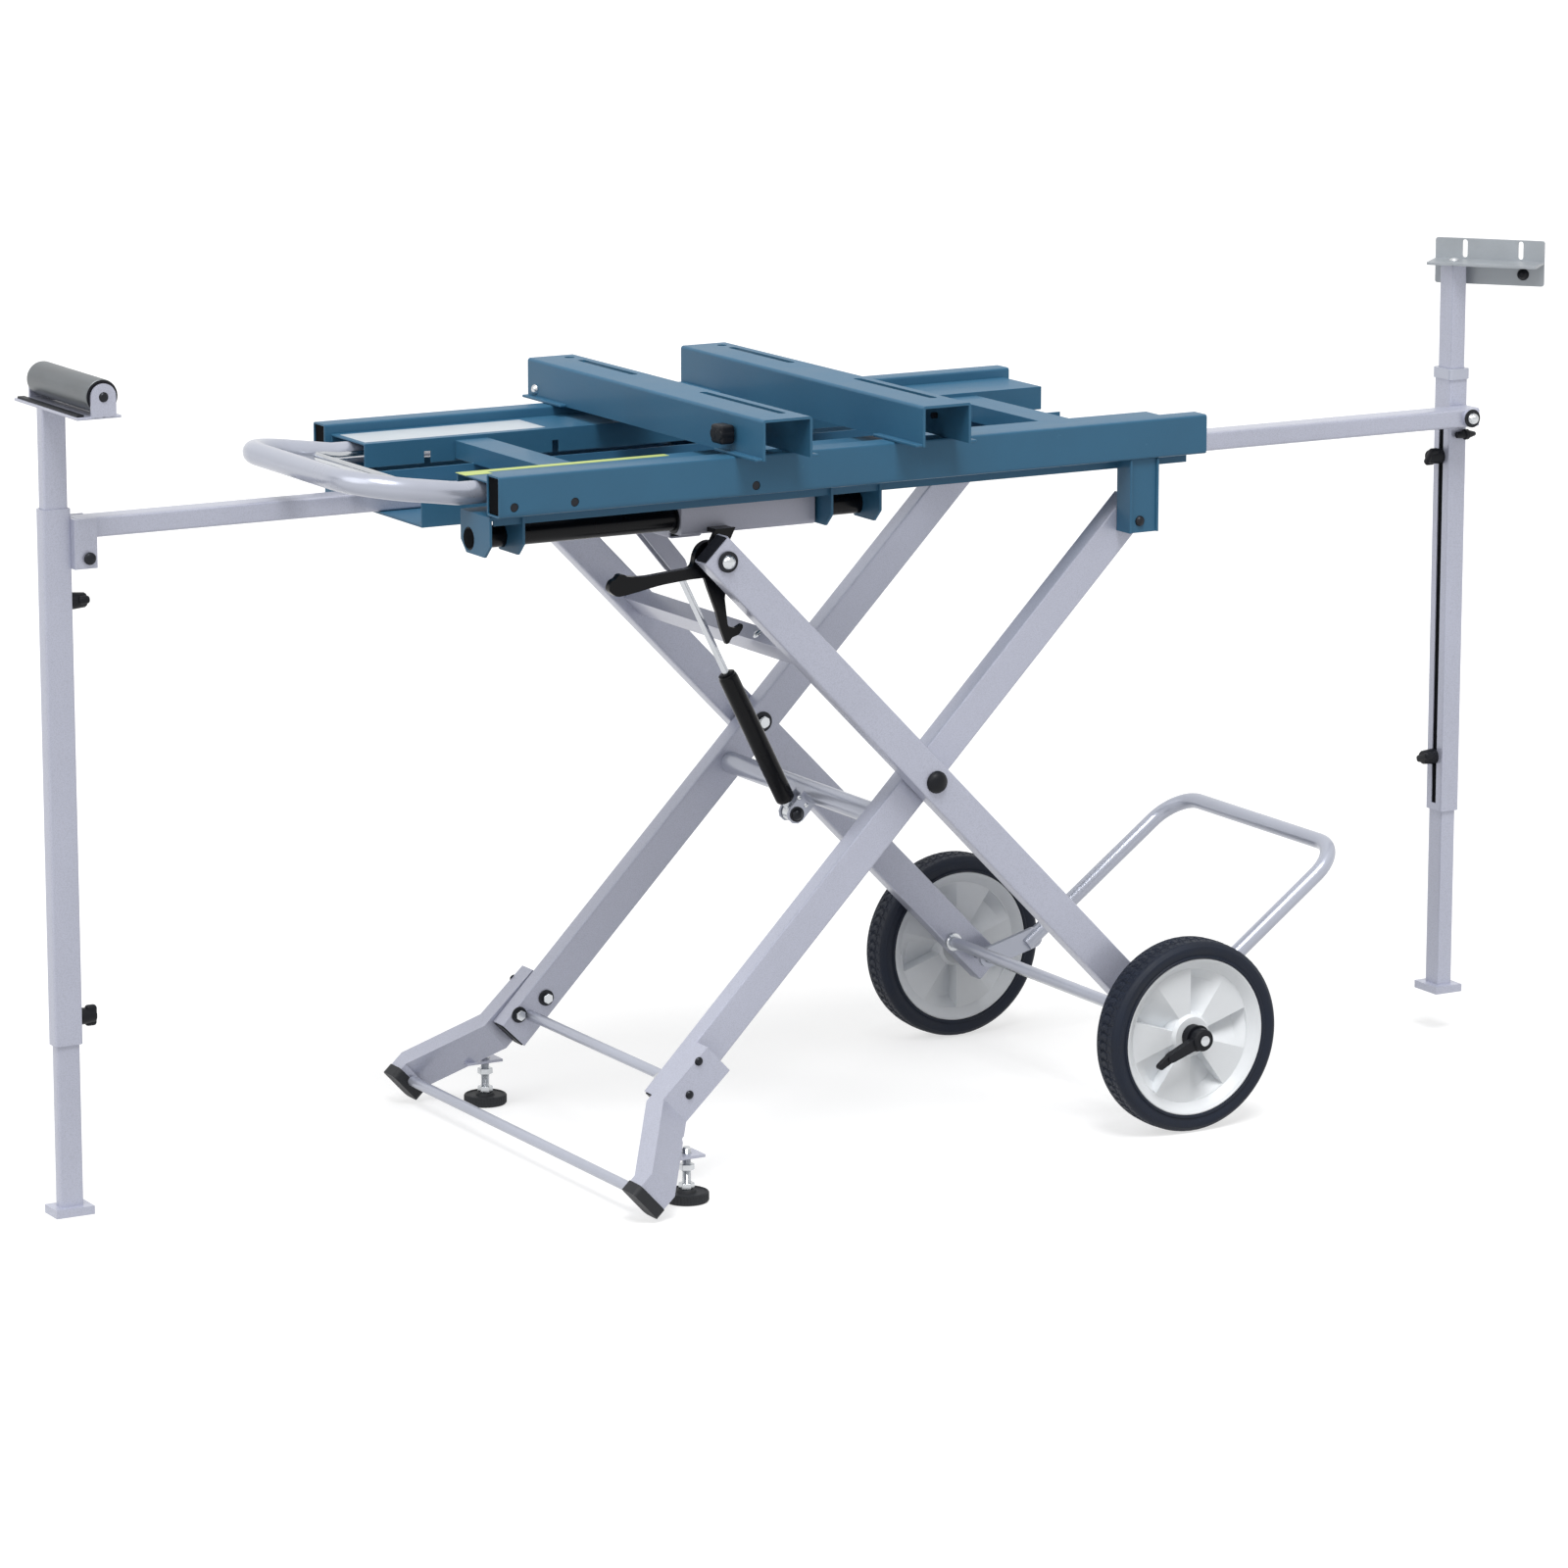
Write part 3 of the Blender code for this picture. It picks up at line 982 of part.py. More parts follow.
bail_z = handle_z + (handle_grip.z - handle_z) * (bail_out - handle_bend) / (handle_grip.x - handle_bend)


def loop_route(inner_x, y, grip, corner):
    """A route out under one tray, up to the grip and back under the other."""
    half = [(inner_x, -y, handle_z), (handle_bend, -y, handle_z), (grip[0], -y, grip[1])]
    return rounded_route(half + [(x, -y, z) for x, y, z in reversed(half)], corner)


bent_tube("handle", loop_route(handle_in, handle_y, (handle_grip.x, handle_grip.z), HANDLE_CORNER),
          HANDLE_RADIUS, SILVER_PAINT, frame_axis, TUBE_WALL)
bail_slide = pivot("bail_slide", (bail_out, 0, bail_z), frame_axis)
bent_tube("handle_bail", loop_route(bail_in, bail_y, (bail_out, bail_z), BAIL_CORNER), BAIL_RADIUS,
          STEEL, bail_slide)


# The saw brackets: channels across the rails, each with a clamp knob

SAW_TOP = 0.0438  # bracket top above the rails
SAW_OVERHANG = 0.046  # bracket ends beyond the frame
SAW_WIDTH = 0.060
SAW_FLANGE = 0.008
SAW_WALL = 0.003
SAW_BEND = 0.0015
SLOT_WIDTH = 0.009
SLOT_SHIFT = 0.013
KNOB_RADIUS = 0.012
KNOB_LENGTH = 0.020
KNOB_SHANK = 0.0035
KNOB_PLACE_SHARE = -0.748  # of the bracket's half length
FLANGE_SHARE = 0.655  # where the flanges begin
BRACKET_KNOB_Z = 0.0215
SAW_LEFT = 0.3185  # brackets' middles from the rail's left end
SAW_RIGHT = 0.5144
LEFT_SLOT_SHARES = ((-0.879, -0.213), (0.348, 0.834))
RIGHT_SLOT_SHARES = ((-0.823, -0.1945), (0.3255, 0.853))
SAW_BRACKETS = (
    ("left", SAW_LEFT - FRAME_LEFT, -1, LEFT_SLOT_SHARES),
    ("right", SAW_RIGHT - FRAME_LEFT, 1, RIGHT_SLOT_SHARES),
)
saw_half = half_frame + SAW_OVERHANG
bracket_knob_y = saw_half * KNOB_PLACE_SHARE


def knob(name, at, axis, reach, look, on):
    """A clamp knob standing on its face, with its shank reaching in."""
    return turned(name, [(0, KNOB_LENGTH), (KNOB_RADIUS * 0.75, KNOB_LENGTH),
                         (KNOB_RADIUS, KNOB_LENGTH * 0.8), (KNOB_RADIUS, KNOB_LENGTH * 0.3),
                         (KNOB_RADIUS * 0.6, KNOB_LENGTH * 0.15), (KNOB_RADIUS * 0.6, 0),
                         (KNOB_SHANK, 0), (KNOB_SHANK, -reach), (0, -reach)],
                  at, axis, look, on, SMALL_STEPS)


saw_base = rail_top + GAP
for name, x, face, slots in SAW_BRACKETS:
    slide = pivot(f"saw_bracket_slide_{name}", (x, 0, saw_base), frame_axis)
    w = SAW_WIDTH / 2
    hat = [(-w, 0), (-w, SAW_TOP - SAW_BEND), (SAW_BEND - w, SAW_TOP), (w - SAW_BEND, SAW_TOP),
           (w, SAW_TOP - SAW_BEND), (w, 0), (w - SAW_WALL, 0), (w - SAW_WALL, SAW_TOP - SAW_WALL),
           (SAW_WALL - w, SAW_TOP - SAW_WALL), (SAW_WALL - w, 0)]
    bracket = extrusion(f"saw_bracket_{name}", [hat], (x, saw_half, saw_base),
                        (x, -saw_half, saw_base), Z_AXIS, BLUE_PAINT, slide)
    for part_name, end in (("near", -1), ("far", 1)):
        flange_y = sorted((end * saw_half * FLANGE_SHARE, end * (saw_half - WELD)))
        for turn in (-1, 1):
            flange_x = sorted((x + turn * (w - WELD), x + turn * (w + SAW_FLANGE)))
            weld(bracket, block(f"saw_flange_{name}_{part_name}_{'right' if turn > 0 else 'left'}",
                                (flange_x[0], flange_y[0], saw_base),
                                (flange_x[1], flange_y[1], saw_base + SAW_WALL), None, slide))
    slot_x = x + SLOT_SHIFT
    cut(bracket, *(block(f"saw_slot_{name}_{i}",
                         (slot_x - SLOT_WIDTH / 2, saw_half * y0, saw_base + SAW_TOP / 2),
                         (slot_x + SLOT_WIDTH / 2, saw_half * y1, saw_base + SAW_TOP + OVERRUN), None,
                         slide)
                   for i, (y0, y1) in enumerate(slots)))
    knob_z = saw_base + BRACKET_KNOB_Z
    cut(bracket, rod(f"saw_knob_hole_{name}", KNOB_SHANK + BORE_GAP,
                     (x + face * (w - OVERRUN), bracket_knob_y, knob_z),
                     (x + face * (w + OVERRUN), bracket_knob_y, knob_z), None, slide, SMALL_STEPS))
    knob_at = (x + face * (w + GAP), bracket_knob_y, knob_z)
    knob_axis = pivot(f"bracket_knob_axis_{name}", knob_at, slide)
    knob(f"bracket_knob_{name}", knob_at, X_AXIS * face, SAW_WALL * 3, BLACK_PLASTIC, knob_axis)


# The extension bars and their posts

bar_section = hollow(BAR_WIDTH, BAR_HEIGHT)
bar_left = extrusion("bar_left", bar_section, (-BAR_LEFT_REACH, BAR_Y, bar_z),
                     (BAR_LEFT_INNER, BAR_Y, bar_z), Z_AXIS, SILVER_PAINT, left_bar_slide)
bar_right = extrusion("bar_right", bar_section, (BAR_RIGHT_INNER, -BAR_Y, bar_z),
                      (BAR_RIGHT_REACH, -BAR_Y, bar_z), Z_AXIS, SILVER_PAINT, right_bar_slide)

POST_PIN_RADIUS = 0.004
LUG_HALF_X = 0.0095
LUG_HALF_Y = 0.012
LUG_BELOW = 0.0065
weld(bar_left, block("bar_lug", (left_pivot.x - LUG_HALF_X, BAR_Y - LUG_HALF_Y, left_pivot.z - LUG_BELOW),
                     (left_pivot.x + LUG_HALF_X, BAR_Y + LUG_HALF_Y, bar_base + WELD), None,
                     left_bar_slide))
cut(bar_left, cross_hole("bar_lug_hole", left_pivot.x, left_pivot.z, POST_PIN_RADIUS + BORE_GAP,
                         BAR_Y - LUG_HALF_Y - OVERRUN, BAR_Y + LUG_HALF_Y + OVERRUN, left_bar_slide))
STUD_HEAD_RADIUS = 0.0105
STUD_HEAD = 0.004
right_post_near = right_post_y - RIGHT_POST_SIZE[1] / 2
weld(bar_right,
     rod("bar_stud", POST_PIN_RADIUS, (right_pivot_x, -BAR_Y - BAR_WIDTH / 2 - WELD, bar_z),
         (right_pivot_x, right_post_near + TUBE_WALL, bar_z), None, right_bar_slide, SMALL_STEPS),
     rod("bar_stud_head", STUD_HEAD_RADIUS, (right_pivot_x, -BAR_Y - BAR_WIDTH / 2 - STUD_HEAD, bar_z),
         (right_pivot_x, -BAR_Y - BAR_WIDTH / 2 + WELD, bar_z), None, right_bar_slide))

# Each post is an outer tube, slotted towards the frame, with a tube sliding in each end
POST_SLOT = 0.009
INNER_LESS = 2 * (TUBE_WALL + SLIDE_GAP)
FOOT_PAD_HEIGHT = 0.009
LEFT_POST_RISE = 0.0108  # outer tube's top above the bar
LEFT_POST_LENGTH = 0.5756
LEFT_SLOT_MARGINS = (0.0139, 0.0617)  # slot from the tube's lower and upper end
LEFT_LEG_TOP = 0.345
LEFT_ARM_INSIDE = 0.2017
LEFT_KNOB_MARGINS = (0.0997, 0.0279)  # knobs from the tube's upper and lower end
RIGHT_POST_RISE = 0.0371
RIGHT_POST_LENGTH = 0.5206
RIGHT_SLOT_MARGINS = (0.0082, 0.0645)
RIGHT_LEG_BASE = 0.0475
RIGHT_LEG_TOP = 0.365
RIGHT_ARM_INSIDE = 0.218
RIGHT_ARM_OUT = 0.127  # stop arm's top above the outer tube
RIGHT_KNOB_MARGINS = (0.098, 0.0646)
left_high = bar_top + LEFT_POST_RISE
left_low = left_high - LEFT_POST_LENGTH
right_high = bar_top + RIGHT_POST_RISE
right_low = right_high - RIGHT_POST_LENGTH
POSTS = {
    "left": dict(x=left_post_x, y=left_post_y, size=LEFT_POST_SIZE, on=left_post_axis, face=1,
                 low=left_low, high=left_high,
                 slot=(left_low + LEFT_SLOT_MARGINS[0], left_high - LEFT_SLOT_MARGINS[1]),
                 leg_low=0.0, leg_high=LEFT_LEG_TOP, arm_low=left_high - LEFT_ARM_INSIDE,
                 knobs=(left_high - LEFT_KNOB_MARGINS[0], left_low + LEFT_KNOB_MARGINS[1])),
    "right": dict(x=right_post_x, y=right_post_y, size=RIGHT_POST_SIZE, on=right_post_axis, face=-1,
                  low=right_low, high=right_high,
                  slot=(right_low + RIGHT_SLOT_MARGINS[0], right_high - RIGHT_SLOT_MARGINS[1]),
                  leg_low=RIGHT_LEG_BASE, leg_high=RIGHT_LEG_TOP, arm_low=right_high - RIGHT_ARM_INSIDE,
                  arm_high=right_high + RIGHT_ARM_OUT,
                  knobs=(right_high - RIGHT_KNOB_MARGINS[0], right_low + RIGHT_KNOB_MARGINS[1])),
}


def post_tube(name, post, size, low, high, look, on):
    return extrusion(name, hollow(size[0], size[1]), (post["x"], post["y"], low),
                     (post["x"], post["y"], high), Y_AXIS, look, on)


for name, post in POSTS.items():
    outer = post_tube(f"post_tube_{name}", post, post["size"], post["low"], post["high"],
                      SILVER_PAINT, post["on"])
    face_x = post["x"] + post["face"] * post["size"][0] / 2
    across = sorted((face_x - post["face"] * TUBE_WALL * 2, face_x + post["face"] * OVERRUN))
    cut(outer, block(f"post_slot_{name}", (across[0], post["y"] - POST_SLOT / 2, post["slot"][0]),
                     (across[1], post["y"] + POST_SLOT / 2, post["slot"][1]), None, post["on"]))
    inner = [side - INNER_LESS for side in post["size"]]
    pad_top = post["leg_low"] + FOOT_PAD_HEIGHT
    leg_slide = pivot(f"post_leg_slide_{name}", (post["x"], post["y"], pad_top), post["on"])
    arm_slide = pivot(f"post_arm_slide_{name}", (post["x"], post["y"], post["high"]), post["on"])
    post.update(outer=outer, face_x=face_x, inner=inner, arm_slide=arm_slide)
    post_leg = post_tube(f"post_leg_{name}", post, inner, pad_top - WELD, post["leg_high"],
                         SILVER_PAINT, leg_slide)
    pad = [post["size"][i] / 2 + FOOT_PAD_MARGIN for i in (0, 1)]
    weld(post_leg, block(f"foot_pad_{name}", (post["x"] - pad[0], post["y"] - pad[1], post["leg_low"]),
                         (post["x"] + pad[0], post["y"] + pad[1], pad_top), None, leg_slide))
    for place, z, slide in (("upper", post["knobs"][0], arm_slide), ("lower", post["knobs"][1], leg_slide)):
        knob_at = (face_x + post["face"] * GAP, post["y"], z)
        knob_axis = pivot(f"post_knob_axis_{name}_{place}", knob_at, slide)
        knob(f"post_knob_{name}_{place}", knob_at, X_AXIS * post["face"], TUBE_WALL + SLIDE_GAP,
             BLACK_PLASTIC, knob_axis)

# The left post's bracket: a folded sheet round the bar's end, with the pivot pin across it
left, right = POSTS["left"], POSTS["right"]
CHEEK_Y = BAR_WIDTH / 2 + SLIDE_GAP * 2
CHEEK_OUT = 0.0095  # cheeks beyond the pivot
CHEEK_BELOW = 0.011
back_x = -BAR_LEFT_REACH - WELD
cheek_x = left_pivot.x + CHEEK_OUT
fold = [(left["face_x"] - WELD, -CHEEK_Y - PLATE), (cheek_x, -CHEEK_Y - PLATE), (cheek_x, -CHEEK_Y),
        (back_x, -CHEEK_Y), (back_x, CHEEK_Y), (cheek_x, CHEEK_Y), (cheek_x, CHEEK_Y + PLATE),
        (left["face_x"] - WELD, CHEEK_Y + PLATE)]
weld(left["outer"],
     extrusion("post_bracket", [fold], (0, left_post_y, left_pivot.z - CHEEK_BELOW),
               (0, left_post_y, bar_top), Y_AXIS, None, left_post_axis),
     rod("post_pin", POST_PIN_RADIUS, (left_pivot.x, left_post_y + CHEEK_Y + PLATE * 2, left_pivot.z),
         (left_pivot.x, left_post_y - CHEEK_Y - PLATE * 2, left_pivot.z), None, left_post_axis,
         SMALL_STEPS))
cut(right["outer"], cross_hole("right_post_bore", right_pivot.x, right_pivot.z,
                               POST_PIN_RADIUS + BORE_GAP, right_post_near - OVERRUN,
                               right_post_near + 2 * TUBE_WALL, right_post_axis))

# The roller arm: a tube with a yoke, and the roller on its axle
ROLLER_RADIUS = 0.018
ROLLER_LENGTH = 0.154
ROLLER_Y = 0.030
ROLLER_FORWARD = 0.017  # axle in front of the post's middle
ROLLER_RISE = 0.1283  # axle above the outer tube
ROLLER_AXLE = 0.005
YOKE_HALF_X = 0.0195
YOKE_SPACE = 0.0015
YOKE_BASE = 0.003
roller_x = left["x"] + ROLLER_FORWARD
roller_z = left["high"] + ROLLER_RISE
yoke_half = ROLLER_LENGTH / 2 + YOKE_SPACE
yoke_z = roller_z - ROLLER_RADIUS - YOKE_SPACE - YOKE_BASE
roller_arm = post_tube("roller_arm", left, left["inner"], left["arm_low"], yoke_z + WELD, SILVER_PAINT,
                       left["arm_slide"])
base_left = min(roller_x - YOKE_HALF_X, left["x"] - left["inner"][0] / 2)
weld(roller_arm, block("yoke_base", (base_left, ROLLER_Y - yoke_half - PLATE, yoke_z),
                       (roller_x + YOKE_HALF_X, ROLLER_Y + yoke_half + PLATE, yoke_z + YOKE_BASE), None,
                       left["arm_slide"]))
for side, sign in NEAR_AND_FAR:
    arch = [(roller_x - YOKE_HALF_X, yoke_z)] + \
           [(roller_x + YOKE_HALF_X * math.cos(a), roller_z + YOKE_HALF_X * math.sin(a))
            for a in (math.pi * (1 - i / BEND_STEPS) for i in range(BEND_STEPS + 1))] + \
           [(roller_x + YOKE_HALF_X, yoke_z)]
    y0 = ROLLER_Y + sign * yoke_half
    weld(roller_arm, plate(f"yoke_{side}", [arch], y0, y0 + sign * PLATE, None, left["arm_slide"]))
    cut(roller_arm, cross_hole(f"yoke_hole_{side}", roller_x, roller_z, ROLLER_AXLE + BORE_GAP,
                               y0 - OVERRUN, y0 + OVERRUN, left["arm_slide"]))
roller_spin = pivot("roller_spin", (roller_x, ROLLER_Y, roller_z), left["arm_slide"])
half_roller = ROLLER_LENGTH / 2
axle_end = yoke_half + PLATE + SHEET
turned("roller",
       [(0, axle_end), (ROLLER_AXLE, axle_end), (ROLLER_AXLE, half_roller), (ROLLER_RADIUS, half_roller),
        (ROLLER_RADIUS, -half_roller), (ROLLER_RADIUS - SHEET, -half_roller),
        (ROLLER_RADIUS - SHEET, half_roller - 2 * PLATE), (ROLLER_AXLE, half_roller - 2 * PLATE),
        (ROLLER_AXLE, -axle_end), (0, -axle_end)],
       (roller_x, ROLLER_Y, roller_z), -Y_AXIS, ZINC, roller_spin)

# The stop arm and its swivelling head: a shelf with an upright plate behind it
SHELF_FRONT = 0.026
PLATE_BELOW = 0.026
PLATE_ABOVE = 0.027
HEAD_BEND = 0.001
HEAD_PIN_RADIUS = 0.004
HEAD_SLOT = 0.006
HEAD_SLOTS = (0.028, 0.094)  # slots from the plate's left end
SLOT_MARGIN = 0.004
stop_arm = post_tube("stop_arm", right, right["inner"], right["arm_low"], right["arm_high"] - PLATE / 2,
                     SILVER_PAINT, right["arm_slide"])
cap_half_x, cap_half_y = (side / 2 - WELD for side in right["inner"])
weld(stop_arm, block("stop_arm_cap",
                     (right["x"] - cap_half_x, right["y"] - cap_half_y, right["arm_high"] - PLATE),
                     (right["x"] + cap_half_x, right["y"] + cap_half_y, right["arm_high"]), None,
                     right["arm_slide"]))
cut(stop_arm, rod("stop_arm_hole", HEAD_PIN_RADIUS + BORE_GAP,
                  (right["x"], right["y"], right["arm_high"] - OVERRUN),
                  (right["x"], right["y"], right["arm_high"] + OVERRUN), None, right["arm_slide"],
                  SMALL_STEPS))
head_axis = pivot("head_axis", (right["x"], right["y"], right["arm_high"]), right["arm_slide"])
shelf_z = right["arm_high"] + GAP
head_section = [(-SHELF_FRONT, 0), (SHELF_BACK, 0), (SHELF_BACK, -PLATE_BELOW),
                (SHELF_BACK + PLATE, -PLATE_BELOW), (SHELF_BACK + PLATE, PLATE_ABOVE),
                (SHELF_BACK, PLATE_ABOVE), (SHELF_BACK, PLATE + HEAD_BEND),
                (SHELF_BACK - HEAD_BEND, PLATE), (-SHELF_FRONT, PLATE)]
post_top = Vector((right["x"], right["y"], shelf_z))
head_start = post_top + head_way * (HEAD_SHIFT - HEAD_LENGTH / 2)
head_end = post_top + head_way * (HEAD_SHIFT + HEAD_LENGTH / 2)
stop_head = extrusion("stop_head", [head_section], head_start, head_end, Z_AXIS, SILVER_PAINT,
                      head_axis)
weld(stop_head, rod("head_pin", HEAD_PIN_RADIUS, post_top - Z_AXIS * PLATE * 3, post_top + Z_AXIS * WELD,
                    None, head_axis, SMALL_STEPS))
for i, run in enumerate(HEAD_SLOTS):
    middle = head_start + head_way * run + head_back * (SHELF_BACK + PLATE / 2)
    cut(stop_head, extrusion(f"head_slot_{i}", [oblong(HEAD_SLOT, 4 * PLATE)],
                             middle + Z_AXIS * (PLATE + SLOT_MARGIN),
                             middle + Z_AXIS * (PLATE_ABOVE - SLOT_MARGIN), head_back, None, head_axis))
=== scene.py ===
# Folding miter saw stand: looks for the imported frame
import json
import math

import bpy
from mathutils import Matrix, Vector


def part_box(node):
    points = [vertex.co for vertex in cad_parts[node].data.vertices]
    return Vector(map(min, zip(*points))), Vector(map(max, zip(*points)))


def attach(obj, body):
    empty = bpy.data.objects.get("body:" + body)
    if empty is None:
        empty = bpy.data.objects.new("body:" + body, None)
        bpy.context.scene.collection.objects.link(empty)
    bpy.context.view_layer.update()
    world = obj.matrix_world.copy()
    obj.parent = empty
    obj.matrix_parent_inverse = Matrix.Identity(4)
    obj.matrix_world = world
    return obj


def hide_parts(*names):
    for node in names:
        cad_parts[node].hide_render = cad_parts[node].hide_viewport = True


print("load the frame")
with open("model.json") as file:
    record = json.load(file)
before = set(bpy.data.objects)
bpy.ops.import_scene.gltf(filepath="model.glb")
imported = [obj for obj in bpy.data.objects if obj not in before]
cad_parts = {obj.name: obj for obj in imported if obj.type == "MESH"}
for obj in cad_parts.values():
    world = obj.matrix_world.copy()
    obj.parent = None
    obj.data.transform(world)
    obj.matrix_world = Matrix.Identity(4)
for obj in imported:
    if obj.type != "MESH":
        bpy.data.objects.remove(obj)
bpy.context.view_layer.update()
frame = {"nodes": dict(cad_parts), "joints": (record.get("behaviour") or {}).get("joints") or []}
jointAt = {joint["name"]: Vector(joint["pos_m"]) for joint in frame["joints"] if "pos_m" in joint}
pivot = jointAt["fold"]  # centre bolts of the scissor
outerTop = jointAt["carriage_tilt"]
innerTop = jointAt["frame_tilt"]
axle = jointAt["wheel_spin_near"]
sides = (("near", -1), ("far", 1))
scene = bpy.context.scene


# camera, from the fit to the photograph
print("camera")
shot = dict(lens=146.78, place=(-3.5046, -6.0446, 1.8593), way=(0.48551, 0.84941, -0.20686))
cameraData = bpy.data.cameras.new("camera")
cameraData.lens = shot["lens"]
cameraData.sensor_width = 36
cameraData.clip_end = 60
camera = bpy.data.objects.new("camera", cameraData)
camera.location = shot["place"]
camera.rotation_euler = Vector(shot["way"]).to_track_quat("-Z", "Y").to_euler()
scene.collection.objects.link(camera)
scene.camera = camera
scene.view_settings.view_transform = "Standard"


# small helpers: selecting, shading nodes, modifiers
def deselectAll():
    bpy.ops.object.select_all(action="DESELECT")


def makeActive(piece):
    deselectAll()
    piece.select_set(True)
    bpy.context.view_layer.objects.active = piece


def hexColor(code):
    channels = [int(code[i:i + 2], 16) / 255 for i in (1, 3, 5)]
    return tuple(c / 12.92 if c <= 0.04045 else ((c + 0.055) / 1.055) ** 2.4 for c in channels) + (1.0,)


def addNode(tree, kind, links=None, **values):
    node = tree.nodes.new(kind)
    for key, value in values.items():
        if key in node.inputs:
            node.inputs[key].default_value = value
        else:
            setattr(node, key, value)
    for key, source in (links or {}).items():
        tree.links.new(source, node.inputs[key])
    return node


def addBevel(piece, width, segments=3, angle=32):
    change = piece.modifiers.new("edge", "BEVEL")
    change.width = width
    change.segments = segments
    change.limit_method = "ANGLE"
    change.angle_limit = math.radians(angle)
    return piece


def cleanMesh(piece, gap=0.00001):
    makeActive(piece)
    bpy.ops.object.mode_set(mode="EDIT")
    bpy.ops.mesh.select_all(action="SELECT")
    bpy.ops.mesh.remove_doubles(threshold=gap)
    bpy.ops.mesh.normals_make_consistent(inside=False)
    bpy.ops.object.mode_set(mode="OBJECT")
    return piece


def applyChanges(piece):
    makeActive(piece)
    for change in list(piece.modifiers):
        bpy.ops.object.modifier_apply(modifier=change.name)
    bpy.ops.object.transform_apply(location=True, rotation=True, scale=True)
    return piece


def addRod(name, radius, start, end, corners=48, edge=0.0):
    start, end = Vector(start), Vector(end)
    way = end - start
    deselectAll()
    bpy.ops.mesh.primitive_cylinder_add(vertices=corners, radius=radius, depth=way.length,
                                        location=(start + end) / 2,
                                        rotation=way.to_track_quat("Z", "Y").to_euler())
    rod = bpy.context.object
    rod.name = name
    return addBevel(rod, edge) if edge else rod


def addBlock(name, low, high, edge=0.0):
    low, high = Vector(low), Vector(high)
    deselectAll()
    bpy.ops.mesh.primitive_cube_add(size=1, location=(low + high) / 2, scale=high - low)
    block = bpy.context.object
    block.name = name
    applyChanges(block)
    return addBevel(block, edge) if edge else block


def addProfile(name, loops, start, end, up, edge=0.0):
    start, end = Vector(start), Vector(end)
    along = (end - start).normalized()
    side = Vector(up).cross(along).normalized()
    curve = bpy.data.curves.new(name, "CURVE")
    curve.dimensions = "2D"
    curve.fill_mode = "BOTH"
    curve.extrude = (end - start).length / 2
    for loop in loops:
        spline = curve.splines.new("POLY")
        spline.points.add(len(loop) - 1)
        for point, (u, v) in zip(spline.points, loop):
            point.co = (u, v, 0, 1)
        spline.use_cyclic_u = True
    piece = bpy.data.objects.new(name, curve)
    scene.collection.objects.link(piece)
    makeActive(piece)
    bpy.ops.object.convert(target="MESH")
    piece = bpy.context.object
    cleanMesh(piece)
    pose = Matrix((side, Vector(up), along)).transposed().to_4x4()
    pose.translation = (start + end) / 2
    piece.matrix_world = pose
    return addBevel(piece, edge) if edge else piece


def addPlate(name, loops, y0, y1, edge=0.0):
    low, high = min(y0, y1), max(y0, y1)
    return addProfile(name, loops, (0, high, 0), (0, low, 0), (0, 0, 1), edge)  # loops in x and z


def addBent(name, route, radius, resolution=7):
    curve = bpy.data.curves.new(name, "CURVE")
    curve.dimensions = "3D"
    curve.bevel_depth = radius
    curve.bevel_resolution = resolution
    curve.use_fill_caps = True
    spline = curve.splines.new("POLY")
    spline.points.add(len(route) - 1)
    for point, place in zip(spline.points, route):
        point.co = (*place, 1)
    piece = bpy.data.objects.new(name, curve)
    scene.collection.objects.link(piece)
    makeActive(piece)
    bpy.ops.object.convert(target="MESH")
    return cleanMesh(bpy.context.object)


def addTurned(name, profile, at, axis, steps=72):
    mesh = bpy.data.meshes.new(name)
    mesh.from_pydata([(r, 0, h) for r, h in profile], [(i, i + 1) for i in range(len(profile) - 1)], [])
    piece = bpy.data.objects.new(name, mesh)
    scene.collection.objects.link(piece)
    turn = piece.modifiers.new("turn", "SCREW")
    turn.axis = "Z"
    turn.steps = steps
    turn.render_steps = steps
    turn.use_merge_vertices = True
    turn.merge_threshold = 0.00001
    makeActive(piece)
    bpy.ops.object.modifier_apply(modifier="turn")
    cleanMesh(piece)
    piece.rotation_euler = Vector(axis).to_track_quat("Z", "Y").to_euler()
    piece.location = at
    return piece


def cutWith(piece, *cutters):
    for cutter in cutters:
        applyChanges(cutter)
        change = piece.modifiers.new("cut", "BOOLEAN")
        change.operation = "DIFFERENCE"
        change.object = cutter
        makeActive(piece)
        bpy.ops.object.modifier_apply(modifier=change.name)
        bpy.data.objects.remove(cutter, do_unlink=True)
    return piece


def joinPieces(name, pieces):
    for piece in pieces:
        applyChanges(piece)
    deselectAll()
    for piece in pieces:
        piece.select_set(True)
    bpy.context.view_layer.objects.active = pieces[0]
    bpy.ops.object.join()
    joined = bpy.context.object
    joined.name = name
    return joined


def finishPiece(piece, look, body, smooth=34, slotName=None):
    applyChanges(piece)
    bpy.ops.object.shade_smooth_by_angle(angle=math.radians(smooth))
    level = piece.modifiers.new("level", "WEIGHTED_NORMAL")  # flat faces stay flat beside rounded corners
    level.keep_sharp = True
    bpy.ops.object.modifier_apply(modifier=level.name)
    piece.data.materials.clear()
    piece.data.materials.append(look)
    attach(piece, body)
    slotName or slotOf[look.name]


skinShape = dict(flat=1, edge=0.0005, corner=40, smooth=30)  # angles in degrees


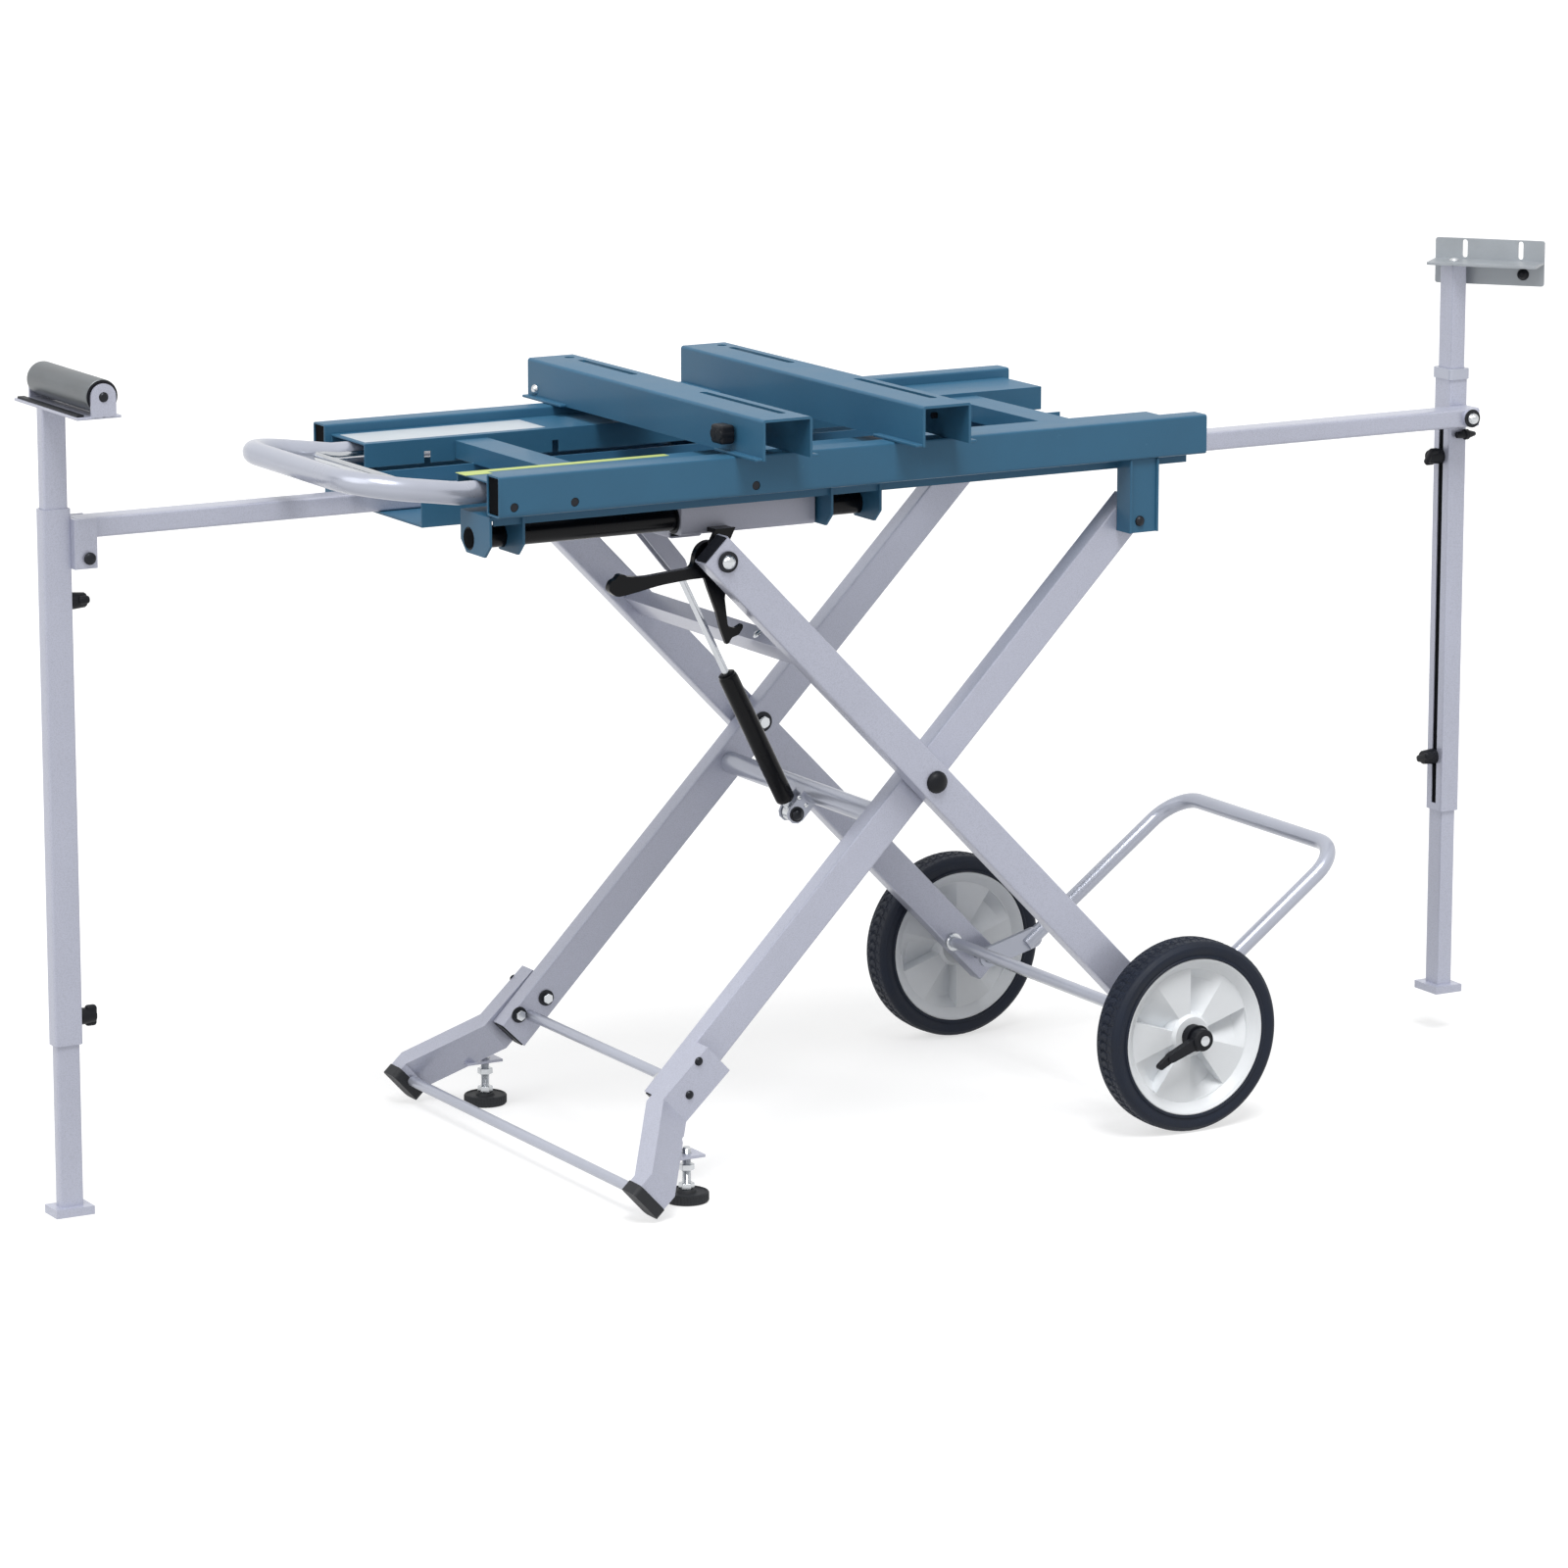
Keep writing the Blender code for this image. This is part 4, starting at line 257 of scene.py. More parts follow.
def skinNode(name, look, body):
    node = frame["nodes"][name]
    mesh = node.data.copy()
    for key in list(mesh.keys()):
        del mesh[key]
    mesh.transform(node.matrix_world)
    skin = bpy.data.objects.new(f"{name}_skin", mesh)
    scene.collection.objects.link(skin)
    cleanMesh(skin)
    bpy.ops.object.mode_set(mode="EDIT")
    bpy.ops.mesh.select_all(action="SELECT")
    bpy.ops.mesh.dissolve_limited(angle_limit=math.radians(skinShape["flat"]))
    bpy.ops.object.mode_set(mode="OBJECT")
    addBevel(skin, skinShape["edge"], 2, skinShape["corner"])
    finishPiece(skin, look, body, skinShape["smooth"])
    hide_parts(name)


# outlines, as lists of points
def ringLoop(radius, corners=32, u=0.0, v=0.0):
    turns = [2 * math.pi * (i + 0.5) / corners for i in range(corners)]
    return [(u + radius * math.cos(a), v + radius * math.sin(a)) for a in turns]


def roundedLoop(width, height, radius, u=0.0, v=0.0, steps=5):
    points = []
    for quarter, (a, b) in enumerate(((1, 1), (-1, 1), (-1, -1), (1, -1))):
        for i in range(steps + 1):
            turn = math.pi / 2 * (quarter + i / steps)
            points.append((u + a * (width / 2 - radius) + radius * math.cos(turn),
                           v + b * (height / 2 - radius) + radius * math.sin(turn)))
    return points


def barLoop(x0, z0, x1, z1, half0, half1=None, steps=10):
    half1 = half0 if half1 is None else half1
    heading = math.atan2(z1 - z0, x1 - x0)
    points = []
    for cx, cz, half, first in ((x1, z1, half1, heading - math.pi / 2), (x0, z0, half0, heading + math.pi / 2)):
        for i in range(steps + 1):
            turn = first + math.pi * i / steps
            points.append((cx + half * math.cos(turn), cz + half * math.sin(turn)))
    return points


def softenLoop(corners, radius, steps=4):
    points = []
    count = len(corners)
    for i in range(count):
        before, here, after = (Vector(corners[(i + k) % count]) for k in (-1, 0, 1))
        back, onWay = before - here, after - here
        reach = min(radius, back.length / 2.2, onWay.length / 2.2)
        first, last = here + back.normalized() * reach, here + onWay.normalized() * reach
        for k in range(steps + 1):
            t = k / steps
            points.append(tuple((1 - t) ** 2 * first + 2 * t * (1 - t) * here + t * t * last))
    return points


def roundedRoute(corners, radius, steps=14):
    route = [Vector(corners[0])]
    for before, here, after in zip(corners, corners[1:], corners[2:]):
        here = Vector(here)
        back = (Vector(before) - here).normalized()
        onWay = (Vector(after) - here).normalized()
        half = back.angle(onWay) / 2
        middle = here + (back + onWay).normalized() * radius / math.sin(half)
        first = here + back * radius / math.tan(half) - middle
        last = here + onWay * radius / math.tan(half) - middle
        turn = first.rotation_difference(last)
        for i in range(steps + 1):
            share = turn.copy()
            share.angle = turn.angle * i / steps
            route.append(middle + share @ first)
    return route + [Vector(corners[-1])]


# materials, each with the CAD's colour slot that it stands for
print("materials")
slotOf = {}


def makeFinish(name, slotName, tone, rough, metal=0.0, drift=0.05, driftScale=7.0, grain=900.0, depth=0.00004,
               sweep=0.05, coat=0.0, stretch=(1, 1, 1), scuffs=None, flakes=0.0, specular=0.5):
    slotOf[name] = slotName
    material = bpy.data.materials.new(name)
    material.use_nodes = True
    tree = material.node_tree
    shader = tree.nodes["Principled BSDF"]
    shader.inputs["Metallic"].default_value = metal
    shader.inputs["Specular IOR Level"].default_value = specular
    if coat:
        shader.inputs["Coat Weight"].default_value = coat
        shader.inputs["Coat Roughness"].default_value = 0.12
    place = addNode(tree, "ShaderNodeTexCoord").outputs["Object"]
    stretched = addNode(tree, "ShaderNodeMapping", {"Vector": place}, Scale=stretch).outputs["Vector"]
    cloud = addNode(tree, "ShaderNodeTexNoise", {"Vector": stretched}, Scale=driftScale, Detail=5.0, Roughness=0.6)
    ramp = addNode(tree, "ShaderNodeValToRGB", {"Fac": cloud.outputs["Fac"]})
    for mark, position, shade in zip(ramp.color_ramp.elements, (0.3, 0.7), (1 - drift, 1 + drift)):
        mark.position = position
        mark.color = tuple(min(1, c * shade) for c in hexColor(tone)[:3]) + (1,)
    color = ramp.outputs["Color"]
    if flakes:  # metallic flakes in the paint, drawn at 1.2 mm, coarser than real, so that they show
        cells = addNode(tree, "ShaderNodeTexVoronoi", {"Vector": place}, Scale=800.0)
        lift = addNode(tree, "ShaderNodeMapRange", {"Value": cells.outputs["Distance"]},
                       **{"From Min": 0.0, "From Max": 0.8, "To Min": 1 + flakes, "To Max": 1 - flakes})
        lit = addNode(tree, "ShaderNodeVectorMath", {0: color, "Scale": lift.outputs["Result"]}, operation="SCALE")
        color = lit.outputs["Vector"]
    if scuffs:  # thin rubbed patches, lighter or darker than the coat
        marks = addNode(tree, "ShaderNodeTexNoise", {"Vector": stretched}, Scale=55.0, Detail=9.0, Roughness=0.72)
        edge = addNode(tree, "ShaderNodeMapRange", {"Value": marks.outputs["Fac"]},
                       **{"From Min": 0.66, "From Max": 0.72, "To Max": 0.5})
        blend = addNode(tree, "ShaderNodeMix", {0: edge.outputs["Result"], 6: color}, data_type="RGBA")
        blend.inputs[7].default_value = hexColor(scuffs)
        color = blend.outputs[2]
    tree.links.new(color, shader.inputs["Base Color"])
    gloss = addNode(tree, "ShaderNodeMapRange", {"Value": cloud.outputs["Fac"]},
                    **{"From Min": 0.3, "From Max": 0.7, "To Min": rough - sweep, "To Max": rough + sweep})
    tree.links.new(gloss.outputs["Result"], shader.inputs["Roughness"])
    fine = addNode(tree, "ShaderNodeTexNoise", {"Vector": stretched}, Scale=grain, Detail=3.0, Roughness=0.55)
    bump = addNode(tree, "ShaderNodeBump", {"Height": fine.outputs["Fac"]}, Strength=1.0, Distance=depth)
    tree.links.new(bump.outputs["Normal"], shader.inputs["Normal"])
    return material


# matt coat with the orange peel of sprayed powder, 1.5 mm across, and a few rubbed spots
blueEnamel = makeFinish("blue powder coat", "blue_paint", "#336482", 0.5, drift=0.07, grain=650.0, depth=0.00007,
                        specular=0.3, coat=0.1, scuffs="#4a7c97")
# metallic paint under clear lacquer: fine flakes and soft highlights
silverEnamel = makeFinish("lilac silver enamel", "silver_paint", "#b8bbcb", 0.4, metal=0.3, grain=700.0,
                          depth=0.00006, coat=0.4, flakes=0.1, scuffs="#cfd1de")
# smooth lacquered tube: long highlights along its bends
satinTube = makeFinish("satin silver tube", "silver_paint", "#b3b7c4", 0.3, metal=0.4, drift=0.04, grain=260.0,
                       depth=0.000002, sweep=0.03, coat=0.3)
# duller warm grey paint without lacquer
taupeEnamel = makeFinish("taupe enamel", "taupe_paint", "#adafbd", 0.42, metal=0.15, grain=650.0, depth=0.00005,
                         flakes=0.05)
# glossy black: dark all over, with narrow highlights
blackEnamel = makeFinish("black gloss enamel", "black_metal", "#0b0c10", 0.26, drift=0.12, grain=600.0, depth=0.00003,
                         sweep=0.06, specular=0.16)
# fine leather grain of a moulded part, half matt
blackPlastic = makeFinish("black moulded plastic", "black_plastic", "#101218", 0.46, drift=0.14, driftScale=18.0,
                          grain=520.0, depth=0.00009, specular=0.22)
# pale moulded nylon, even and half matt
rimPlastic = makeFinish("light grey moulded plastic", "rim_plastic", "#e8ebee", 0.44, drift=0.035, driftScale=14.0,
                        grain=480.0, depth=0.00006, scuffs="#d8dbdc")
# blue-black rubber, dusty in places
tyreRubber = makeFinish("tyre rubber", "tyre_rubber", "#121a29", 0.58, drift=0.2, driftScale=30.0, grain=420.0,
                        depth=0.00015, sweep=0.07, specular=0.3, scuffs="#3d4556")
# matt black rubber
footRubber = makeFinish("foot rubber", "black_plastic", "#14171c", 0.62, drift=0.15, driftScale=30.0, grain=500.0,
                        depth=0.0001)
# bright plating with faint clouds
brightSteel = makeFinish("zinc plated steel", "steel", "#c9cccf", 0.24, metal=1.0, drift=0.08, driftScale=40.0,
                         grain=800.0, depth=0.00003, sweep=0.08)
# drawn and polished rod, almost a mirror
drawnSteel = makeFinish("drawn bright steel", "steel", "#c3c6ca", 0.22, metal=1.0, drift=0.06, driftScale=30.0,
                        grain=500.0, depth=0.00002, sweep=0.06)
# dull zinc with streaks round the roller
rollerZinc = makeFinish("galvanised steel", "roller_zinc", "#6e7275", 0.4, metal=0.55, drift=0.2, driftScale=90.0,
                        grain=300.0, depth=0.00005, stretch=(1, 0.18, 1), sweep=0.1)
# oiled black steel with a low shine
darkBolt = makeFinish("black oxide steel", "black_metal", "#24262b", 0.36, metal=0.7, drift=0.15, driftScale=60.0,
                      grain=700.0)
# grey sheet as it comes from the mill
millSteel = makeFinish("grey zinc sheet", "silver_paint", "#a2a7ac", 0.42, metal=0.45, drift=0.08, driftScale=25.0,
                       grain=500.0)
# flat self-adhesive tape, and the blank film on the far tray
greenTape = makeFinish("yellow green tape", "blue_paint", "#bccb74", 0.5, driftScale=40.0, grain=300.0,
                       depth=0.00005)
paleLabel = makeFinish("pale blank film", "blue_paint", "#c4ccd2", 0.38, drift=0.03, driftScale=30.0, grain=400.0,
                       depth=0.00003)
# painted shade: near black with almost no reflection, put where the inside of an open tube or slot lies in shade
paintedShade = makeFinish("painted tube shade", "black_plastic", "#0a0c0f", 0.8, drift=0.2, driftScale=60.0, grain=400.0,
                      depth=0.00005, specular=0.05)


# floor and light
print("stage")
studio = dict(floorSize=60, floorDrop=0.0005, tones=(0.42, 0.44), floorSeen=0.64, worldLight=0.47, worldSeen=1.0)
deselectAll()
bpy.ops.mesh.primitive_plane_add(size=studio["floorSize"], location=(0, 0, -studio["floorDrop"]))
floor = bpy.context.object
floor.name = "floor"
floorPaint = bpy.data.materials.new("pale floor")
floorPaint.use_nodes = True
floorTree = floorPaint.node_tree
floorShader = floorTree.nodes["Principled BSDF"]
floorShader.inputs["Roughness"].default_value = 0.9
floorPlace = addNode(floorTree, "ShaderNodeTexCoord").outputs["Object"]
floorCloud = addNode(floorTree, "ShaderNodeTexNoise", {"Vector": floorPlace}, Scale=1.2, Detail=2.0)
floorRamp = addNode(floorTree, "ShaderNodeValToRGB", {"Fac": floorCloud.outputs["Fac"]})
for mark, tone in zip(floorRamp.color_ramp.elements, studio["tones"]):
    mark.color = (tone, tone, tone, 1)
floorTree.links.new(floorRamp.outputs["Color"], floorShader.inputs["Base Color"])


# one strength for the light that falls on the stand, another for what the camera, metal and glass see
def addSeenSwitch(tree, hidden, shown):
    lightPath = addNode(tree, "ShaderNodeLightPath")
    direct = addNode(tree, "ShaderNodeMath", {0: lightPath.outputs["Is Camera Ray"],
                                              1: lightPath.outputs["Is Glossy Ray"]}, operation="MAXIMUM")
    seen = addNode(tree, "ShaderNodeMath", {0: direct.outputs[0],
                                            1: lightPath.outputs["Is Transmission Ray"]}, operation="MAXIMUM")
    level = addNode(tree, "ShaderNodeMapRange", {"Value": seen.outputs[0]}, **{"To Min": hidden, "To Max": shown})
    return level.outputs["Result"]


floorShader.inputs["Emission Color"].default_value = (1, 1, 1, 1)
floorTree.links.new(addSeenSwitch(floorTree, 0.0, studio["floorSeen"]), floorShader.inputs["Emission Strength"])
floor.data.materials.append(floorPaint)

world = bpy.data.worlds.new("studio")
scene.world = world
world.use_nodes = True
worldTree = world.node_tree
background = worldTree.nodes["Background"]
worldTree.links.new(addSeenSwitch(worldTree, studio["worldLight"], studio["worldSeen"]), background.inputs["Strength"])
background.inputs["Color"].default_value = (1, 1, 1, 1)


def addSun(name, way, energy, spread):
    data = bpy.data.lights.new(name, "SUN")
    data.energy = energy
    data.angle = math.radians(spread)
    lamp = bpy.data.objects.new(name, data)
    lamp.rotation_euler = Vector(way).to_track_quat("-Z", "Y").to_euler()
    scene.collection.objects.link(lamp)


addSun("key", (0.16, 0.42, -0.9), 2.1, 24)  # from above and in front
addSun("left", (0.8, 0.12, -0.62), 0.8, 45)  # softer, onto the left ends


# hexagon and domed bolt heads, with or without a washer
washerThick = 0.0016


def addHexBolt(name, at, axis, size, look, body, washer=0.0, washerLook=None, domed=False, height=None, slotName=None):
    at, axis = Vector(at), Vector(axis).normalized()
    height = height or size * 0.62
    slotName = slotName or slotOf[look.name]
    if washer:
        disc = addRod(f"{name}_washer", washer, at, at + axis * washerThick, 40, 0.0003)
        finishPiece(disc, washerLook or look, body, slotName=slotName)
        at = at + axis * washerThick
    if domed:
        head = addTurned(f"{name}_head", [(0, height), (size * 0.45, height * 0.93), (size * 0.8, height * 0.62),
                                          (size, height * 0.18), (size, 0), (0, 0)], at, axis, 40)
    else:
        head = addRod(f"{name}_head", size, at, at + axis * height, 6, 0.0006)
    finishPiece(head, look, body, slotName=slotName)


# wheels
print("wheels")
wheel = dict(outer=0.1093, half=0.0208, lipIn=0.0868, lipOut=0.0893, lipHeight=0.0184, dish=0.0765, hub=0.0138,
             hubRing=0.0215, ringRise=0.004, webStart=0.0262, hubOut=0.0248, bore=0.0062, sectors=5,
             front=dict(face=0.0085, deep=-0.0092, share=0.0), back=dict(face=0.0105, deep=-0.0072, share=0.5))


def faceHeight(radius, local, flat, deep):
    if local >= 0.5 or radius < wheel["webStart"] or radius > wheel["dish"] - 0.001:  # a raised sector, hub ring or rim
        return flat
    fade = min(1.0, (wheel["dish"] - radius) / 0.009)  # shallower beside the rim
    return flat + (deep - flat) * fade * (1 - (1 - local / 0.5) ** 1.3)  # level at one edge, deep at the other


def addWrapped(name, columns, rows, placeAt):
    deselectAll()
    bpy.ops.mesh.primitive_grid_add(x_subdivisions=columns - 1, y_subdivisions=rows - 1, size=1)
    sheet = bpy.context.object
    sheet.name = name
    for vert in sheet.data.vertices:
        vert.co = placeAt(round((vert.co.x + 0.5) * (columns - 1)), round((vert.co.y + 0.5) * (rows - 1)))
    return cleanMesh(sheet, 0.000001)


def addWheelFace(name, at, out, levels):
    rows = [wheel["hub"], wheel["hubRing"], wheel["hubRing"] + 0.0030, wheel["webStart"], 0.036, 0.05, 0.064,
            wheel["dish"] - 0.0016, wheel["dish"] - 0.0008, wheel["dish"]]
    shares = ([0.002] + [0.05 * k for k in range(1, 10)] + [0.4985, 0.5015]
              + [0.5 + 0.1 * k for k in range(1, 5)] + [0.998])
    places = shares * wheel["sectors"] + shares[:1]
    turns = [2 * math.pi / wheel["sectors"] * (i // len(shares) + share - 0.25 + levels["share"])
             for i, share in enumerate(places)]

    def placeAt(i, j):
        turn, radius = turns[i] * -out, rows[j]  # the recesses lean the same way seen from either side
        height = faceHeight(radius, places[i], levels["face"], levels["deep"]) + (wheel["ringRise"] if j < 2 else 0.0)
        return at.x + radius * math.cos(turn), at.y + out * height, at.z + radius * math.sin(turn)

    return addWrapped(name, len(turns), len(rows), placeAt)


tread = dict(lugs=66, deep=0.0030, crown=0.0018, grooveAt=0.0062, rows=(
    -0.0152, -0.0114, -0.0080, -0.0062, -0.0046, -0.0015, 0.0015, 0.0046, 0.0062, 0.0080, 0.0114, 0.0152))
sidewall = [(0.0894, 0.0172), (0.0896, 0.0192), (0.0908, 0.0200), (0.0922, 0.0200), (0.0930, 0.0189),
            (0.0942, 0.0191), (0.0975, 0.0204), (0.1000, wheel["half"]), (0.1022, wheel["half"]), (0.1035, 0.0203),
            (0.1040, 0.0196), (0.1062, 0.0183), (0.1078, 0.0162), (0.1086, 0.0136)]


def addTyre(name, at):
    columns = tread["lugs"] * 4 + 1
    far, count = len(sidewall), len(tread["rows"])
    profile = sidewall + [(0, y) for y in tread["rows"]] + [(r, -h) for r, h in reversed(sidewall)]
    profile.append(profile[0])

    def placeAt(i, j):
        radius, across = profile[j]
        k = j - far
        if 0 <= k < count:
            lean = min(k, count - 1 - k)  # the grooves lean towards the middle from both sides
            groove = abs(abs(across) - tread["grooveAt"]) < 0.0001 or (i + lean) % 4 == 3
            radius = wheel["outer"] - (across / 0.02) ** 2 * tread["crown"] - (tread["deep"] if groove else 0.0)
        turn = 2 * math.pi * i / (columns - 1)
        return at.x + radius * math.cos(turn), at.y + across, at.z + radius * math.sin(turn)

    return addWrapped(name, columns, len(profile), placeAt)


for side, sign in sides:
    at = jointAt[f"wheel_spin_{side}"]
    body = f"wheel_{side}"
    tyre = addTyre(f"tyreCover_{side}", at)
    finishPiece(tyre, tyreRubber, body, 28)
    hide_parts(f"tyre_{side}")
    lip, dish, lipIn, lipOut = wheel["lipHeight"], wheel["dish"], wheel["lipIn"], wheel["lipOut"]
    face, back = wheel["front"]["face"], wheel["back"]["face"]
    band = addTurned(f"rimBand_{side}", [
        (dish, face), (dish + 0.0012, face + 0.0008), (lipIn - 0.0030, lip - 0.0022), (lipIn, lip - 0.0008),
        (lipIn + 0.0006, lip), (lipOut - 0.0006, lip), (lipOut, lip - 0.0008), (lipOut, -lip + 0.0008),
        (lipOut - 0.0006, -lip), (lipIn + 0.0006, -lip), (lipIn, -lip + 0.0008), (lipIn - 0.0030, -lip + 0.0022),
        (dish + 0.0012, -back - 0.0008), (dish, -back)], at, (0, sign, 0), 128)
    rim = joinPieces(f"rimBody_{side}", [band, addWheelFace(f"rimFace_{side}", at, sign, wheel["front"]),
                                         addWheelFace(f"rimBack_{side}", at, -sign, wheel["back"])])
    cleanMesh(rim)
    finishPiece(rim, rimPlastic, body, 24)
    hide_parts(f"rim_{side}")
    inward = abs(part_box(f"rim_{side}")[1 if sign < 0 else 0][1] - at.y)  # from the wheel's middle to the leg
    hub = addTurned(f"hubBarrel_{side}", [
        (wheel["bore"], wheel["hubOut"]), (0.0150, wheel["hubOut"]), (wheel["hub"], wheel["hubOut"] - 0.0012),
        (wheel["hub"], 0.012), (wheel["hub"], -0.016), (0.0145, -0.017), (0.0145, -inward),
        (wheel["bore"], -inward)], at, (0, sign, 0), 64)
    finishPiece(hub, blackPlastic, body)

# axle and wheel locks
shaftRadius = 0.0059  # 12 mm steel, for the axle and the scissor's bolts
low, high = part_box("wheel_axle")
for side, sign in sides:
    end = high.y if sign > 0 else low.y
    tip = addTurned(f"axleEnd_{side}", [(0, 0.0), (0.0040, -0.0002), (0.0058, -0.0014), (shaftRadius, -0.004),
                                        (shaftRadius, -0.012), (0, -0.012)], (axle.x, end, axle.z), (0, sign, 0), 48)
    finishPiece(tip, brightSteel, "outer_legs")
shaft = addRod("axleShaft", shaftRadius, (axle.x, low.y + 0.006, axle.z), (axle.x, high.y - 0.006, axle.z), 40)
finishPiece(shaft, brightSteel, "outer_legs")
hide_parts("wheel_axle")

lock = dict(drop=22.0, length=0.061, elbow=0.043, toe=0.0035, toeDrop=0.0030, bore=0.0061)
lockTurn = math.radians(lock["drop"])
lockWay = Vector((-math.cos(lockTurn), 0, -math.sin(lockTurn)))
elbow = axle + lockWay * lock["elbow"]
tip = axle + lockWay * (lock["length"] - lock["toe"])
tip.z -= lock["toeDrop"]
for side, sign in sides:
    low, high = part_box(f"wheel_lock_{side}")
    inner = low.y if sign > 0 else high.y
    arm = addPlate(f"lockArm_{side}", [barLoop(axle.x, axle.z, elbow.x, elbow.z, 0.0070, 0.0050)],
                   inner + sign * 0.0006, inner + sign * 0.0096, 0.0018)
    toe = addPlate(f"lockToe_{side}", [barLoop(elbow.x, elbow.z, tip.x, tip.z, 0.0047, 0.0034)],
                   inner + sign * 0.0014, inner + sign * 0.0082, 0.0016)
    boss = addTurned(f"lockBoss_{side}", [(lock["bore"], 0.0), (0.0122, 0.0), (0.0125, 0.001), (0.0125, 0.0105),
                                          (0.0112, 0.0126), (lock["bore"], 0.0126)],
                     (axle.x, inner + sign * 0.0001, axle.z), (0, sign, 0), 56)
    lever = joinPieces(f"lockLever_{side}", [arm, toe, boss])
    finishPiece(lever, blackPlastic, f"wheel_lock_{side}", 30)
    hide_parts(f"wheel_lock_{side}")


# legs, with a plug in each end
print("legs")
for side, sign in sides:
    for name, body in (("inner_leg", "inner_legs"), ("outer_leg", "outer_legs"), ("foot", "inner_legs")):
        skinNode(f"{name}_{side}", silverEnamel, body)

leg = dict(depth=0.040, width=0.025, wall=0.002, play=0.0004, slope=45.6, outerY=0.20605, innerY=0.17805,
           pastBolt=0.018, pastAxle=0.026, innerBelow=0.460)
legSlope = math.radians(leg["slope"])
downRight = Vector((math.cos(legSlope), 0, -math.sin(legSlope)))
upRight = Vector((math.cos(legSlope), 0, math.sin(legSlope)))
plugShape = dict(deep=0.006, proud=0.0012, corner=0.0022, edge=0.0006)


def addEndPlug(name, at, along, up, size, body):
    at, along = Vector(at), Vector(along).normalized()
    endPiece = addProfile(name, [roundedLoop(*size, plugShape["corner"])], at - along * plugShape["deep"],
                      at + along * plugShape["proud"], up, plugShape["edge"])
    finishPiece(endPiece, blackPlastic, body)


plugSize = leg["depth"] - 2 * leg["wall"] - leg["play"], leg["width"] - 2 * leg["wall"] - leg["play"]
legEnds = (("outerLegTopPlug", outerTop - downRight * leg["pastBolt"], -downRight, leg["outerY"], "outer_legs"),
           ("outerLegFootPlug", axle + downRight * leg["pastAxle"], downRight, leg["outerY"], "outer_legs"),
           ("innerLegTopPlug", innerTop + upRight * leg["pastBolt"], upRight, leg["innerY"], "inner_legs"),
           ("innerLegFootPlug", pivot - upRight * leg["innerBelow"], -upRight, leg["innerY"], "inner_legs"))
for side, sign in sides:
    for name, end, way, y, body in legEnds:
        addEndPlug(f"{name}_{side}", (end.x, sign * y, end.z), way, (0, 1, 0), plugSize, body)

# centre bolts: a domed black cap outside, a nut on a washer inside
centreBolt = dict(face=0.2188, nut=0.0074, nutPlay=0.0012, nutFace=0.1640, ring=0.0116, ringFace=0.1654)
for side, sign in sides:
    low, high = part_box(f"pivot_bolt_{side}")
    inner = high.y if sign < 0 else low.y
    face, nutFace = sign * centreBolt["face"], sign * centreBolt["nutFace"]
    cap = addTurned(f"centreCap_{side}", [(0, 0.0081), (0.0045, 0.0078), (0.0085, 0.0064), (0.0112, 0.0040),
                                          (0.0124, 0.0014), (0.0125, 0.0), (0.006, 0.0), (0.006, -0.020)],
                    (pivot.x, face, pivot.z), (0, sign, 0), 56)
    finishPiece(cap, blackPlastic, "inner_legs", slotName="black_metal")
    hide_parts(f"pivot_bolt_{side}")
    shank = addRod(f"centreShank_{side}", shaftRadius, (pivot.x, face, pivot.z), (pivot.x, inner, pivot.z), 32)
    finishPiece(shank, brightSteel, "inner_legs", slotName="black_metal")
    nut = addRod(f"centreNut_{side}", centreBolt["nut"], (pivot.x, inner + sign * centreBolt["nutPlay"], pivot.z),
                 (pivot.x, nutFace, pivot.z), 6, 0.0006)
    finishPiece(nut, brightSteel, "inner_legs", slotName="black_metal")
    ring = addRod(f"centreRing_{side}", centreBolt["ring"], (pivot.x, nutFace, pivot.z),
                  (pivot.x, sign * centreBolt["ringFace"], pivot.z), 40, 0.0003)
    finishPiece(ring, darkBolt, "inner_legs")

# round cross rods, and a collar at each end of the outer legs' one
crossRods = (("foot_rod_upper", 0.006, "inner_legs"), ("foot_rod_lower", 0.006, "inner_legs"),
             ("lower_cross_rod", 0.0065, "outer_legs"))
for name, radius, body in crossRods:
    low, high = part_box(name)
    middle = (low + high) / 2
    tube = addRod(f"{name}_tube", radius, (middle.x, low.y, middle.z), (middle.x, high.y, middle.z), 40, 0.0004)
    finishPiece(tube, satinTube, body)
    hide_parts(name)
for side, sign in sides:  # middle and high are still the last rod's
    collar = addTurned(f"rodCollar_{side}", [(0.0066, 0.0), (0.0102, 0.0), (0.0106, 0.0006), (0.0106, 0.0040),
                                             (0.0096, 0.0052), (0.0066, 0.0052)],
                       (middle.x, sign * high.y, middle.z), (0, -sign, 0), 40)
    finishPiece(collar, brightSteel, "outer_legs", slotName="silver_paint")
skinNode("inner_cross_tube", satinTube, "inner_legs")
skinNode("outer_crossbar", silverEnamel, "outer_legs")

# the bolt on the upper crossbar
low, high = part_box("outer_crossbar")
addHexBolt("crossbarBolt", ((low.x + high.x) / 2 - 0.010, -0.10, high.z - 0.008), (-0.7, 0, 0.7), 0.0062,
           brightSteel, "outer_legs", domed=True)

